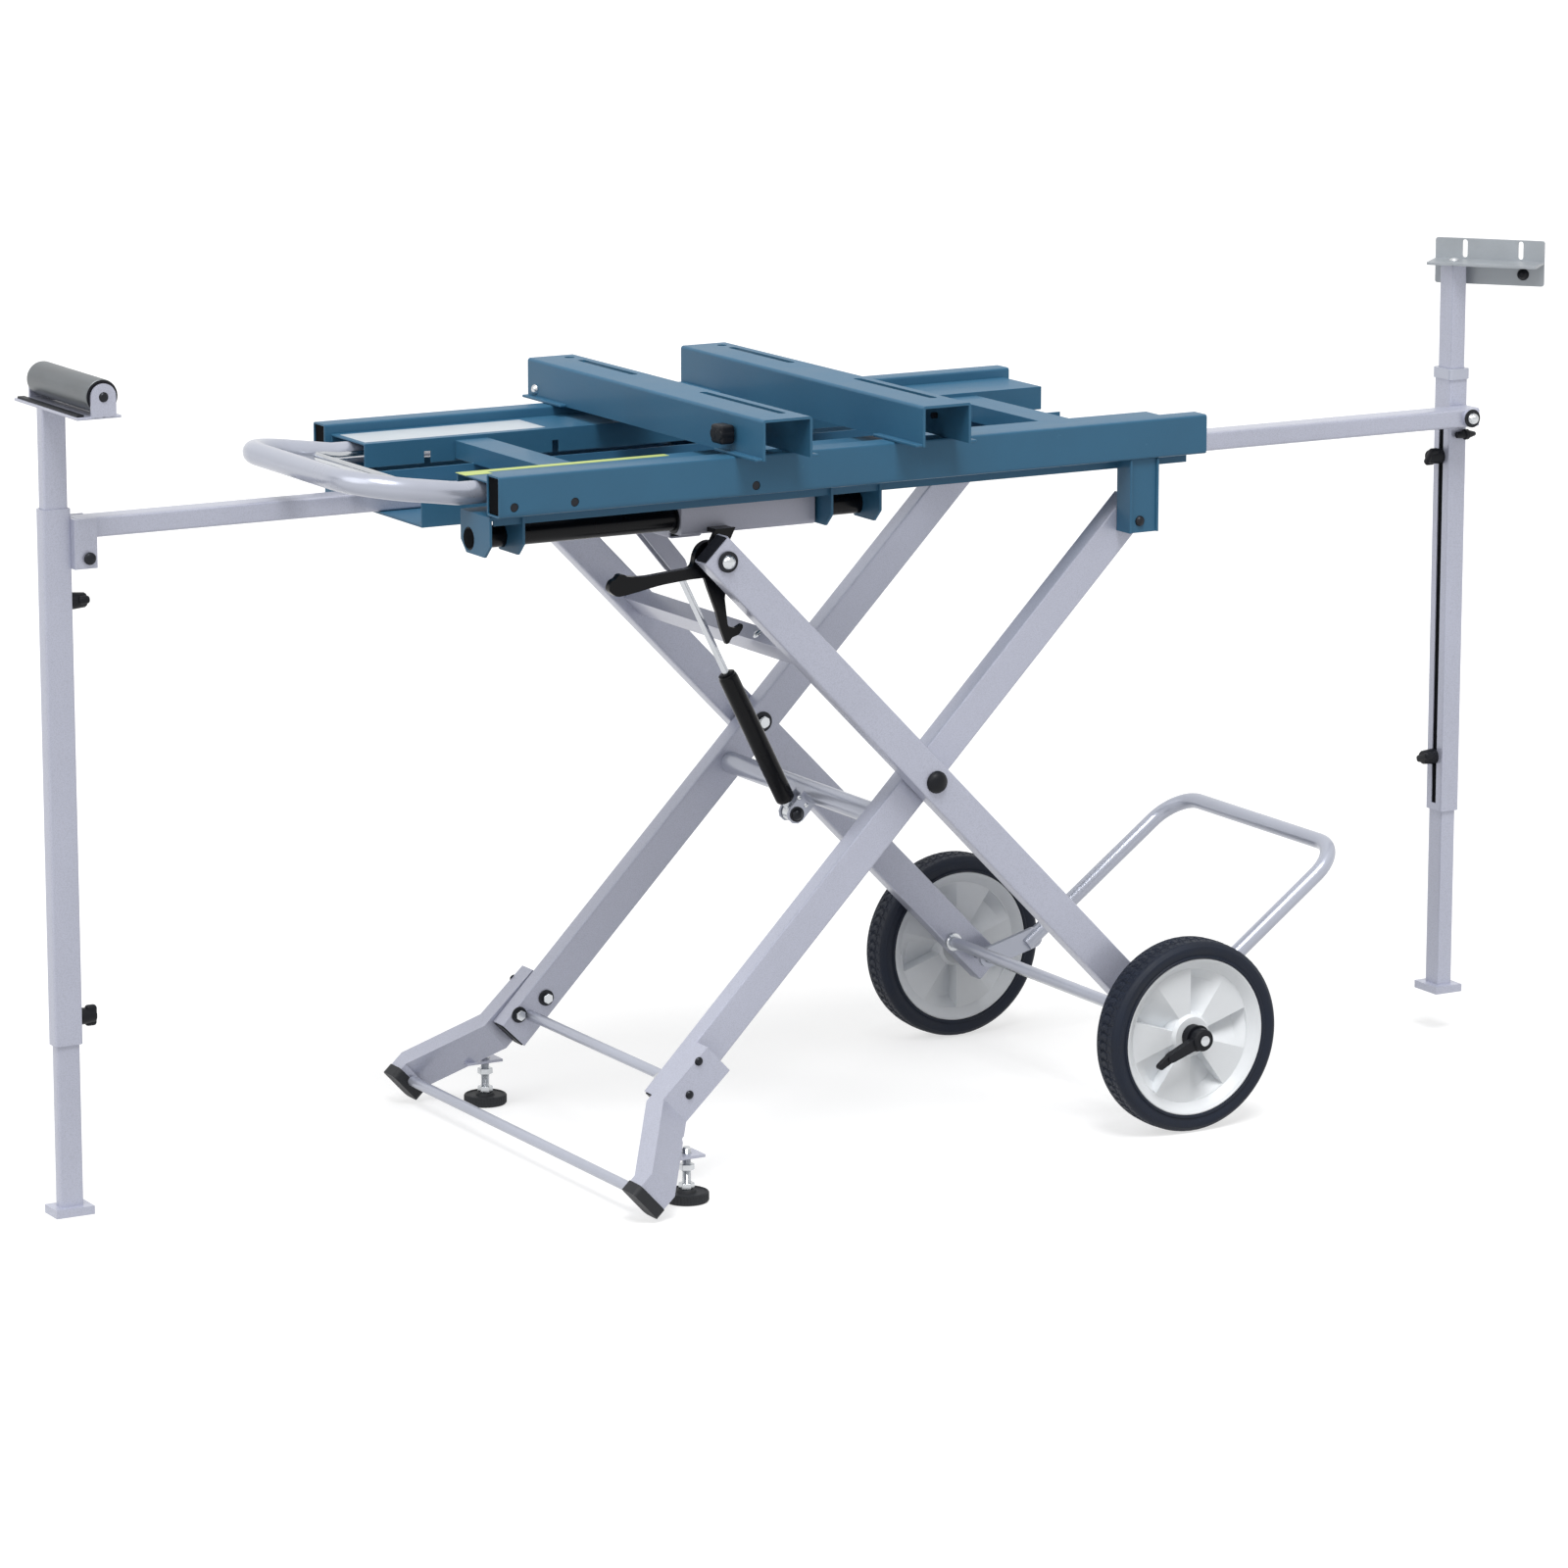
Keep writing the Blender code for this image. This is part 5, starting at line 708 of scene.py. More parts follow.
# the U tube behind the wheels
kick = dict(radius=0.009, y=0.17005, low=(0.0513, 0.0095), high=(0.2637, 0.1671), corner=0.045, tab=0.012)
kickLow = Vector((axle.x + kick["low"][0], 0, axle.z + kick["low"][1]))
kickHigh = Vector((axle.x + kick["high"][0], 0, axle.z + kick["high"][1]))
corners = [(kickLow.x, -kick["y"], kickLow.z), (kickHigh.x, -kick["y"], kickHigh.z),
           (kickHigh.x, kick["y"], kickHigh.z), (kickLow.x, kick["y"], kickLow.z)]
kickPieces = [addBent("kickRun", roundedRoute(corners, kick["corner"], 18), kick["radius"], 8)]
kickWay = (kickHigh - kickLow).normalized()
flat = kickLow + kickWay * kick["tab"]
for side, sign in sides:
    kickPieces.append(addPlate(f"kickTab_{side}", [barLoop(axle.x, axle.z, flat.x, flat.z, kick["tab"]),
                                                   ringLoop(0.0063, 32, axle.x, axle.z)],
                               sign * kick["y"] - 0.003, sign * kick["y"] + 0.003, 0.0012))
kickTube = joinPieces("kickTube", kickPieces)
finishPiece(kickTube, satinTube, "outer_legs", 30)
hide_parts("kick_tube")


# feet
print("feet")
footCap = dict(slope=43, width=0.0446, height=0.0296, corner=0.006, back=0.0028, out=0.0098, edge=0.0026)
footTurn = math.radians(footCap["slope"])
footWay = Vector((-math.cos(footTurn), 0, -math.sin(footTurn)))
for side, sign in sides:
    low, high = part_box(f"foot_cap_{side}")
    middle = (low + high) / 2
    cap = addProfile(f"footCap_{side}", [roundedLoop(footCap["width"], footCap["height"], footCap["corner"])],
                     middle - footWay * footCap["back"], middle + footWay * footCap["out"], (0, 1, 0), footCap["edge"])
    finishPiece(cap, footRubber, "inner_legs", 30)
    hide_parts(f"foot_cap_{side}")

footBolts = dict(face=0.2159, bolts=((-0.2786, 0.1462), (-0.2900, 0.1105)),
                 nutFace=0.16525, nuts=((-0.2641, 0.1333), (-0.2985, 0.1178)))
for side, sign in sides:
    for i, (x, z) in enumerate(footBolts["bolts"]):
        addHexBolt(f"footBolt_{side}_{i}", (x, sign * footBolts["face"], z), (0, sign, 0), 0.0048, darkBolt,
                   "inner_legs", domed=True, height=0.0032)
    for i, (x, z) in enumerate(footBolts["nuts"]):
        addHexBolt(f"footNut_{side}_{i}", (x, sign * footBolts["nutFace"], z), (0, -sign, 0), 0.0062, brightSteel,
                   "inner_legs", washer=0.0092 if sign > 0 else 0.0, washerLook=darkBolt, height=0.005)

# levelling feet: a ribbed rubber pad, a threaded stud and two nuts
pad = dict(radius=0.0245, ribs=44, ribDeep=0.0009, ribLow=0.0012, ribHigh=0.0098)
stud = dict(base=0.0125, pitch=0.00125, crest=0.0049, root=0.0044, nut=0.0088, nutThick=0.0066, nutsAt=(0.0136, 0.0347))
for side, sign in sides:
    low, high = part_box(f"leveller_{side}")
    at = Vector(((low.x + high.x) / 2, (low.y + high.y) / 2, 0))
    body = f"leveller_{side}"
    ribs = []
    for i in range(pad["ribs"] * 2):
        turn = math.pi * i / pad["ribs"]
        reach = pad["radius"] - (pad["ribDeep"] if i % 2 else 0.0)
        ribs.append((reach * math.cos(turn), reach * math.sin(turn)))
    edge = addProfile(f"padEdge_{side}", [ribs], at + Vector((0, 0, pad["ribLow"])),
                      at + Vector((0, 0, pad["ribHigh"])), (0, 1, 0), 0.0003)
    dish = addTurned(f"padDish_{side}", [(0, 0.0135), (0.0080, 0.0135), (0.0098, 0.0125), (0.0110, 0.0094),
                                         (0.0150, 0.0078), (0.0195, 0.0082), (0.0222, 0.0112), (0.0236, 0.0106),
                                         (0.0240, 0.0014), (0.0232, 0.0), (0, 0.0)], at, (0, 0, 1), 64)
    foot = joinPieces(f"levelPad_{side}", [dish, edge])
    finishPiece(foot, footRubber, body, 26)
    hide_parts(f"leveller_{side}")
    thread = [(0, stud["base"])]
    for i in range(int((high.z - 0.013) / stud["pitch"])):
        z = stud["base"] + i * stud["pitch"]
        thread += [(stud["crest"], z), (stud["root"], z + 0.00062)]
    thread += [(0.0042, high.z - 0.0002), (0, high.z - 0.0002)]
    finishPiece(addTurned(f"levelStud_{side}", thread, at, (0, 0, 1), 28), brightSteel, body, 20)
    for i, z in enumerate(stud["nutsAt"]):
        nut = addRod(f"levelNut_{side}_{i}", stud["nut"], at + Vector((0, 0, z)),
                     at + Vector((0, 0, z + stud["nutThick"])), 6, 0.0006)
        finishPiece(nut, brightSteel, body)


# carriage: two blocks on the guide rods, each with a hanger for the outer leg
print("carriage")
skinNode("carriage_beam", taupeEnamel, "carriage")
slider = dict(width=0.037, height=0.0421, corner=0.004, bore=0.0123, rodY=0.149, rodZ=0.7261, shift=0.0005)
hanger = dict(half=0.0120, lean=0.0150, rise=0.008, plateIn=0.18325, thick=0.0046, webRise=0.0025, web=0.005)
boltHole = 0.0063
for side, sign in sides:
    low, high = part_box(f"slider_{side}")
    middle = (sign * (slider["rodY"] + slider["shift"]), high.z - slider["height"] / 2)
    rodAt = (sign * slider["rodY"] - middle[0], slider["rodZ"] - middle[1])
    block = addProfile(f"sliderBlock_{side}", [roundedLoop(slider["width"], slider["height"], slider["corner"]),
                                               ringLoop(slider["bore"], 40, *rodAt)],
                       (low.x, *middle), (high.x, *middle), (0, 0, 1), 0.0012)
    finishPiece(block, taupeEnamel, "carriage", 30)
    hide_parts(f"slider_{side}")
    for end, (x, out) in enumerate(((low.x, -1), (high.x, 1))):
        lip = addTurned(f"sliderLip_{side}_{end}", [
            (slider["bore"], -0.003), (0.0156, -0.003), (0.0156, 0.0004), (0.0150, 0.0010), (slider["bore"], 0.0010)],
            (x, sign * slider["rodY"], slider["rodZ"]), (out, 0, 0), 48)
        finishPiece(lip, blackPlastic, "carriage")
    half, base = hanger["half"], high.z - slider["height"]
    x0, x1 = outerTop.x + hanger["lean"] - half, outerTop.x + hanger["lean"] + half
    arc = [(outerTop.x + half * math.cos(a), outerTop.z + half * math.sin(a))
           for a in (math.pi * (0.95 + k / 13) for k in range(15))]
    strip = addPlate(f"hangerStrip_{side}", [[(x0, base + hanger["rise"])] + arc + [(x1, base + hanger["rise"])],
                                             ringLoop(boltHole, 32, outerTop.x, outerTop.z)],
                     sign * hanger["plateIn"], sign * (hanger["plateIn"] + hanger["thick"]), 0.0008)
    y0, y1 = sorted((sign * (abs(middle[0]) + slider["width"] / 2 - 0.001), sign * (hanger["plateIn"] + 0.001)))
    web = addBlock(f"hangerWeb_{side}", (x0, y0, base + hanger["webRise"]),
                   (x1, y1, base + hanger["webRise"] + hanger["web"]), 0.0008)
    finishPiece(joinPieces(f"carriageHanger_{side}", [strip, web]), blackEnamel, "carriage", 30)
beamPlug = dict(y=0.1307, deep=0.006, proud=0.0002, x=(0.0025, 0.0375), z=(0.7046, 0.7194))
low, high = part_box("carriage_beam")
for side, sign in sides:
    end = sign * beamPlug["y"]
    y0, y1 = sorted((end - sign * beamPlug["deep"], end + sign * beamPlug["proud"]))
    endPiece = addBlock(f"beamPlug_{side}", (low.x + beamPlug["x"][0], y0, beamPlug["z"][0]),
                    (low.x + beamPlug["x"][1], y1, beamPlug["z"][1]), 0.0006)
    finishPiece(endPiece, blackPlastic, "carriage")

# bolts at the outer legs' tops: black washer, silver dome
topBolt = dict(face=0.21885, washer=0.0115, thick=0.0025, inside=0.1702)
for side, sign in sides:
    face = sign * topBolt["face"]
    washerFace = face + sign * topBolt["thick"]
    washer = addRod(f"topWasher_{side}", topBolt["washer"], (outerTop.x, face, outerTop.z),
                    (outerTop.x, washerFace, outerTop.z), 48, 0.0005)
    finishPiece(washer, darkBolt, "outer_legs", slotName="steel")
    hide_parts(f"top_bolt_{side}")
    dome = addTurned(f"topDome_{side}", [(0, 0.0060), (0.0030, 0.0057), (0.0060, 0.0042), (0.0078, 0.0014),
                                         (0.0080, 0.0), (0, 0)], (outerTop.x, washerFace, outerTop.z), (0, sign, 0), 48)
    finishPiece(dome, brightSteel, "outer_legs")
    shank = addRod(f"topShank_{side}", shaftRadius, (outerTop.x, face, outerTop.z),
                   (outerTop.x, sign * topBolt["inside"], outerTop.z), 32, 0.0006)
    finishPiece(shank, brightSteel, "outer_legs")

# the release lever: a black grip with a thumb rise, and the hook below, in x and z from the top bolt
grip = dict(y0=-0.1722, y1=-0.1808, hookWider=0.0020, outline=[
    (-0.1234, -0.0258), (-0.1196, -0.0165), (-0.1130, -0.0142), (-0.1105, -0.0102), (-0.1045, -0.0100),
    (-0.1005, -0.0128), (-0.0915, -0.0142), (-0.0774, -0.0150), (-0.0431, -0.0121), (-0.0210, -0.0105),
    (-0.0185, 0.004), (-0.0130, 0.0132), (-0.002, 0.0180), (0.0100, 0.0150), (0.0172, 0.005), (0.0165, -0.007),
    (0.0090, -0.0165), (-0.0019, -0.0225), (-0.026, -0.0228), (-0.0603, -0.0258), (-0.0945, -0.0319),
    (-0.1133, -0.0345)], hook=[
    (-0.0100, -0.012), (-0.0015, -0.036), (0.0084, -0.0611), (0.0136, -0.0800), (0.0205, -0.0977),
    (0.0240, -0.0965), (0.0274, -0.0906), (0.0361, -0.0883), (0.0415, -0.0806), (0.0400, -0.0760),
    (0.0309, -0.0805), (0.0226, -0.0778), (0.0207, -0.0622), (0.0188, -0.0467), (0.0215, -0.0347),
    (0.0165, -0.012), (0.004, -0.004)])
gripLoop, hookLoop = ([(outerTop.x + x, outerTop.z + z) for x, z in grip[key]] for key in ("outline", "hook"))
handleGrip = addPlate("leverGrip", [softenLoop(gripLoop, 0.008, 4), ringLoop(boltHole, 32, outerTop.x, outerTop.z)],
                      grip["y0"], grip["y1"], 0.0020)
hook = addPlate("leverHook", [softenLoop(hookLoop, 0.0022, 3)], grip["y0"] - grip["hookWider"],
                grip["y1"] + grip["hookWider"], 0.0010)
releaseLever = joinPieces("releaseGrip", [handleGrip, hook])
finishPiece(releaseLever, blackEnamel, "release_lever", 30, slotName="black_plastic")
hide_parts("release_lever")

# gas spring: black barrel on a steel eye, bright rod, black clevis
gas = dict(head=(0.0489, 0, -0.0382), neck=0.0055, neckEnd=0.019, rod=0.0039, rodStart=0.158, boltFace=0.0111)
foot = jointAt["gas_cylinder_swing"]
head = outerTop + Vector(gas["head"])
head.y = foot.y
springWay = (head - foot).normalized()
barrel = addTurned("springBarrel", [
    (0, 0.0165), (0.0090, 0.0165), (0.0106, 0.0185), (0.0109, 0.022), (0.0109, 0.178), (0.0104, 0.1815),
    (0.0096, 0.1825), (0.0096, 0.1845), (0.0075, 0.1858), (0.0044, 0.1858)], foot, springWay, 56)
finishPiece(barrel, blackEnamel, "gas_cylinder")
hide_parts("gas_cylinder")
neck = addRod("springNeck", gas["neck"], foot, foot + springWay * gas["neckEnd"], 32)
finishPiece(neck, brightSteel, "gas_cylinder", slotName="black_metal")
eye = addTurned("springEye", [(0.0042, 0.006), (0.0085, 0.006), (0.0094, 0.0052), (0.0094, -0.0052), (0.0085, -0.006),
                              (0.0042, -0.006), (0.0042, 0.006)], foot, (0, 1, 0), 40)
finishPiece(eye, brightSteel, "gas_cylinder", slotName="black_metal")
for name, out, look in (("near", -1, darkBolt), ("far", 1, brightSteel)):
    addHexBolt(f"springFootBolt_{name}", (foot.x, foot.y + out * gas["boltFace"], foot.z), (0, out, 0), 0.0066, look,
               "inner_legs", washer=0.0086, domed=out < 0, height=0.0045, slotName="steel")
for i, (dx, dz) in enumerate(((0.012, 0.009), (0.0035, 0.0185))):
    addHexBolt(f"springPlateBolt_{i}", (foot.x + dx, foot.y - gas["boltFace"], foot.z + dz), (0, -1, 0), 0.0028,
               brightSteel, "inner_legs", domed=True, height=0.0016)
rod = addRod("springRod", gas["rod"], foot + springWay * gas["rodStart"], head, 32)
finishPiece(rod, drawnSteel, "gas_rod")
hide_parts("gas_rod")
clevis = addBlock("springClevisBlock", (-0.0058, -0.0058, -0.0075), (0.0058, 0.0058, 0.0145), 0.0012)
clevis.rotation_euler = (-springWay).to_track_quat("Z", "Y").to_euler()
clevis.location = head
finishPiece(clevis, blackPlastic, "gas_rod")


# top frame
print("top frame")
for name in ("rail_near", "rail_far", "tray_near", "tray_far", "bar_carrier"):
    skinNode(name, blueEnamel, "top_frame")
for side, sign in sides:
    low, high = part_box(f"guide_rod_{side}")
    y, z = (low.y + high.y) / 2, (low.z + high.z) / 2
    rod = addRod(f"guideRod_{side}", 0.0119, (low.x, y, z), (high.x, y, z), 56, 0.0008)
    finishPiece(rod, blackEnamel, "top_frame")
    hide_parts(f"guide_rod_{side}")
    # a dark disc on each end of the rod: painted shade for the inside of its open end
    for end, (x, out) in enumerate(((low.x, -1), (high.x, 1))):
        endPiece = addTurned(f"rodEndShade_{side}_{end}", [(0, 0.0016), (0.0060, 0.0015), (0.0104, 0.0010), (0.0108, 0.0),
                                                   (0, 0.0)], (x, y, z), (out, 0, 0), 40)
        finishPiece(endPiece, paintedShade, "top_frame")

# dark blocks in the rails' open ends, painted shade for the inside of the tube, and the screws in the rails' outer
# faces
rail = dict(shadeY=0.20735, shadeHalf=(0.0118, 0.0196), shadeDeep=(0.0015, 0.012), screw=0.0047, screwY=(0.2192, 0.2205),
            screwZ=0.7677, screwsAt=(0.018, 0.0892, 0.3064))
low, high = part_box("rail_near")
railZ, railBase, railTop, frameLeft = (low.z + high.z) / 2, low.z, high.z, low.x
for side, sign in sides:
    y = sign * rail["shadeY"]
    halfY, halfZ = rail["shadeHalf"]
    for end, (x, out) in enumerate(((low.x, -1), (high.x, 1))):
        x0, x1 = sorted(x - out * deep for deep in rail["shadeDeep"])
        endPiece = addBlock(f"railEndShade_{side}_{end}", (x0, y - halfY, railZ - halfZ),
                        (x1, y + halfY, railZ + halfZ), 0.0008)
        finishPiece(endPiece, paintedShade, "top_frame")
    y0, y1 = (sign * face for face in rail["screwY"])
    for i, x in enumerate(rail["screwsAt"]):
        screw = addRod(f"railScrew_{side}_{i}", rail["screw"], (low.x + x, y0, rail["screwZ"]),
                       (low.x + x, y1, rail["screwZ"]), 32, 0.0004)
        finishPiece(screw, darkBolt, "top_frame")

# the inner legs' hangers: a bolt, and the channel's two raised edges
channelEdge = dict(first=-0.0141, last=0.0205, width=0.0028, below=0.013, sunk=0.001, proud=0.0026)
for side, sign in sides:
    low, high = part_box(f"tray_{side}")
    face = high.y if sign > 0 else low.y
    addHexBolt(f"hangerBolt_{side}", (innerTop.x, face, innerTop.z), (0, sign, 0), 0.0058, darkBolt, "top_frame",
               domed=True, height=0.0040)
    y0, y1 = sorted((face - sign * channelEdge["sunk"], face + sign * channelEdge["proud"]))
    edges = [addBlock(f"hangerFlange_{side}_{i}", (x, y0, innerTop.z - channelEdge["below"]),
                      (x + channelEdge["width"], y1, railBase - 0.0003), 0.0007)
             for i, x in enumerate((innerTop.x + channelEdge["first"], innerTop.x + channelEdge["last"]))]
    finishPiece(joinPieces(f"hangerEdges_{side}", edges), blueEnamel, "top_frame")

# yellow-green tape on the near tray's inner edge, and a blank film on the far tray, from the tray's corner
tape = dict(x=(0.004, 0.254), y=(0.0130, 0.0012), patchX=0.036, patchY=0.0250, thick=0.0003)
film = dict(x=(0.012, 0.232), y=(0.010, 0.034), thick=0.0002)
low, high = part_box("tray_near")
x0, x1 = (low.x + x for x in tape["x"])
y0, y1 = (high.y - y for y in tape["y"])
tapeTop = high.z + tape["thick"]
tapes = [addBlock("trayTape", (x0, y0, high.z), (x1, y1, tapeTop)),
         addBlock("tapePatch", (x0, high.y - tape["patchY"], high.z), (low.x + tape["patchX"], y0, tapeTop))]
finishPiece(joinPieces("trayTape", tapes), greenTape, "top_frame")
low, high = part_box("tray_far")
finishPiece(addBlock("trayFilm", (low.x + film["x"][0], low.y + film["y"][0], high.z),
                     (low.x + film["x"][1], high.y - film["y"][1], high.z + film["thick"])), paleLabel, "top_frame")

# handle and bail
handle = dict(radius=0.0125, y=0.15205, inside=0.133, straight=0.012, out=0.127, rise=0.0088, corner=0.063,
              trayDrop=0.0106, sheet=0.002, gap=0.0003, thinner=0.0001)
handleZ = railTop - handle["trayDrop"] - handle["sheet"] - handle["gap"] - handle["radius"]
gripX, gripZ = frameLeft - handle["out"], railTop - handle["rise"]
bendX = frameLeft - handle["straight"]


def loopRoute(insideX, y, gripAt, corner):
    half = [(insideX, -y, handleZ), (bendX, -y, handleZ), (gripAt[0], -y, gripAt[1])]
    return roundedRoute(half + [(x, -a, z) for x, a, z in reversed(half)], corner, 20)


handleRoute = loopRoute(frameLeft + handle["inside"], handle["y"], (gripX, gripZ), handle["corner"])
handleTube = addBent("handleTube", handleRoute, handle["radius"] - handle["thinner"], 9)
finishPiece(handleTube, satinTube, "top_frame")
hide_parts("handle")
bail = dict(radius=0.0045, inside=0.113, reach=0.0463, corner=0.025)
bailX = frameLeft - bail["reach"]
bailZ = handleZ + (gripZ - handleZ) * (bailX - bendX) / (gripX - bendX)
bailY = handle["y"] - handle["radius"] - handle["gap"] - bail["radius"]
bailRoute = loopRoute(frameLeft + bail["inside"], bailY, (bailX, bailZ), bail["corner"])
bailRod = addBent("bailRod", bailRoute, bail["radius"] - handle["thinner"], 6)
finishPiece(bailRod, drawnSteel, "handle_bail")
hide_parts("handle_bail")


# saw brackets: folded channels with two slots and a bolt hole in the top, and small feet along both sides
print("saw brackets")
saw = dict(top=0.0438, width=0.060, wall=0.003, flange=0.008, flangeFrom=0.655, corner=0.0035, slotHalf=0.0045,
           slotShift=0.013, boltHole=0.0058, boltIn=0.020, slots={
               "left": ((-0.2350, -0.0569), (0.0930, 0.2229)), "right": ((-0.2200, -0.0520), (0.0870, 0.2280))})


def archLoop(reach, top, radius):
    quarter = [math.pi / 2 * k / 5 for k in range(6)]
    points = [(-reach + radius - radius * math.cos(a), top - radius + radius * math.sin(a)) for a in quarter]
    points += [(reach - radius + radius * math.sin(a), top - radius + radius * math.cos(a)) for a in quarter]
    return [(-reach, 0.0)] + points + [(reach, 0.0)]


# a bracket's clamp knob: a core, two round lobes and a rounded block over them
clampKnob = dict(lobe=0.0066, lobeOut=0.0058, lobeX=(0.003, 0.0198), core=(0.0182, 0.0055, 0.0085),
                 wingX=(0.002, 0.0195), wing=(0.0118, 0.0102), shank=0.0034, shankX=(-0.0088, 0.004))


def addClampKnob(name, face):
    at = jointAt[f"bracket_knob_{name}_turn"]
    lobes = [addRod(f"knobLobe_{name}_{end}", clampKnob["lobe"],
                    *(at + Vector((face * x, end * clampKnob["lobeOut"], 0)) for x in clampKnob["lobeX"]), 40, 0.0014)
             for end in (-1, 1)]
    reach, wide, tall = clampKnob["core"]
    x0, x1 = sorted((at.x, at.x + face * reach))
    core = addBlock(f"knobCore_{name}", (x0, at.y - wide, at.z - tall), (x1, at.y + wide, at.z + tall), 0.0022)
    shank = addRod(f"knobShank_{name}", clampKnob["shank"],
                   *(at + Vector((face * x, 0, 0)) for x in clampKnob["shankX"]), 24)
    wide, tall = clampKnob["wing"]
    x0, x1 = sorted(at.x + face * x for x in clampKnob["wingX"])
    wings = addBlock(f"knobWings_{name}", (x0, at.y - wide, at.z - tall), (x1, at.y + wide, at.z + tall), 0.0034)
    knob = joinPieces(f"clampKnob_{name}", [core, wings, shank] + lobes)
    finishPiece(knob, blackPlastic, f"bracket_knob_{name}", 32)
    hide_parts(f"bracket_knob_{name}")


for name, face in (("left", -1), ("right", 1)):
    low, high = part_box(f"saw_bracket_{name}")
    x, baseZ, half = (low.x + high.x) / 2, low.z, high.y
    body = f"saw_bracket_{name}"
    w, t, wall, r, s = saw["width"] / 2, saw["top"], saw["wall"], saw["corner"], saw["slotHalf"]
    channel = addProfile(f"bracketChannel_{name}",
                         [archLoop(w, t, r) + archLoop(w - wall, t - wall, max(r - wall, 0.0008))[::-1]],
                         (x, half, baseZ), (x, -half, baseZ), (0, 0, 1))
    applyChanges(channel)
    slotX, cutLow, cutHigh = x + saw["slotShift"], baseZ + t - 0.012, baseZ + t + 0.01
    cutters = [addProfile(f"slotCutter_{name}_{i}", [barLoop(slotX, y0 + s, slotX, y1 - s, s)], (0, 0, cutLow),
                          (0, 0, cutHigh), (0, 1, 0)) for i, (y0, y1) in enumerate(saw["slots"][name])]
    holeX, holeY = slotX - 0.0005, half - saw["boltIn"]
    cutters.append(addRod(f"boltCutter_{name}", saw["boltHole"], (holeX, holeY, cutLow), (holeX, holeY, cutHigh), 32))
    cutWith(channel, *cutters)
    pieces = [channel]
    for end in (-1, 1):
        for turn in (-1, 1):
            y0, y1 = sorted((end * half * saw["flangeFrom"], end * (half - 0.001)))
            x0, x1 = sorted((x + turn * (w - 0.001), x + turn * (w + saw["flange"])))
            pieces.append(addBlock(f"flange_{name}_{end}_{turn}", (x0, y0, baseZ), (x1, y1, baseZ + wall), 0.0009))
    bracket = joinPieces(f"sawBracket_{name}", pieces)
    addBevel(bracket, 0.0004, 2, 50)
    finishPiece(bracket, blueEnamel, body, 40)
    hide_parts(f"saw_bracket_{name}")
    addHexBolt(f"bracketBolt_{name}", (x + face * w, half - 0.018, baseZ + 0.0105), (face, 0, 0), 0.0058, brightSteel,
               body, domed=True, height=0.0042)
    addClampKnob(name, face)


# extension bars and posts
print("posts")
for name, body in (("bar_left", "bar_left"), ("bar_right", "bar_right"), ("post_tube_left", "post_left"),
                   ("post_tube_right", "post_right"), ("post_leg_left", "post_leg_left"),
                   ("post_leg_right", "post_leg_right"), ("stop_arm", "stop_arm")):
    skinNode(name, silverEnamel, body)
bar = dict(y=0.0466, inside=(0.0255, 0.017))
low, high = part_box("bar_right")
barZ, leftBarEnd = (low.z + high.z) / 2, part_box("bar_left")[1].x
for name, x, y, out, body in (("rightBarPlug_out", high.x, -bar["y"], 1, "bar_right"),
                              ("rightBarPlug_in", low.x, -bar["y"], -1, "bar_right"),
                              ("leftBarPlug", leftBarEnd, bar["y"], 1, "bar_left")):
    addEndPlug(name, (x, y, barZ), (out, 0, 0), (0, 0, 1), bar["inside"], body)

# the stud that the right post swings on: black washer, silver head
rightPivot = jointAt["post_right_swing"]
addHexBolt("rightPostBolt", (rightPivot.x, -0.06560, rightPivot.z), (0, -1, 0), 0.0068, brightSteel, "bar_right",
           washer=0.0106, washerLook=darkBolt, domed=True, height=0.0068)

# the left post's pivot pin heads
leftPivot = jointAt["post_left_fold"]
low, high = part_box("post_tube_left")
for name, sign, y in (("near", -1, low.y), ("far", 1, high.y)):
    pinHead = addTurned(f"leftPinHead_{name}", [
        (0, 0.0030), (0.0030, 0.0027), (0.0058, 0.0014), (0.0066, 0.0002), (0.0066, -0.0010), (0, -0.0010)],
        (leftPivot.x, y, leftPivot.z), (0, sign, 0), 36)
    finishPiece(pinHead, darkBolt, "post_left")

# the right post: a spring pin beside the bar, a collar on top, and a dark strip behind the slot's edge, painted shade
rightPost = dict(x=0.8376, y=-0.0151, pin=(0.8446, -0.0046, 0.7165), collarDown=0.007, collarUp=0.0055,
                 slotHalf=0.00445, slotIn=(0.0012, 0.0017), slotEnds=(0.0086, 0.0649))
low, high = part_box("post_tube_right")
pinX, pinDown, pinZ = rightPost["pin"]
springPin = addTurned("springPin", [(0, -0.012), (0.0036, -0.012), (0.0044, -0.002), (0.0062, -0.001), (0.0062, 0.003),
                                    (0.0050, 0.004), (0.0024, 0.0135), (0.0012, 0.0146), (0, 0.0148)],
                      (pinX, low.y + pinDown, pinZ), (1, 0, 0), 36)
finishPiece(springPin, blackPlastic, "post_right")
postX, postY = rightPost["x"], rightPost["y"]
collar = addProfile("postCollar", [roundedLoop(0.0285, 0.0355, 0.004), roundedLoop(0.0206, 0.0276, 0.002)],
                    (postX, postY, high.z - rightPost["collarDown"]), (postX, postY, high.z + rightPost["collarUp"]),
                    (0, 1, 0), 0.0014)
finishPiece(collar, satinTube, "post_right", 30)
# painted shade: a near-black strip inside the slot's wall, where the slot lies in shade
x0, x1 = (low.x + deep for deep in rightPost["slotIn"])
slotShade = addBlock("slotShade", (x0, postY - rightPost["slotHalf"], low.z + rightPost["slotEnds"][0]),
                     (x1, postY + rightPost["slotHalf"], high.z - rightPost["slotEnds"][1]))
finishPiece(slotShade, paintedShade, "post_right")

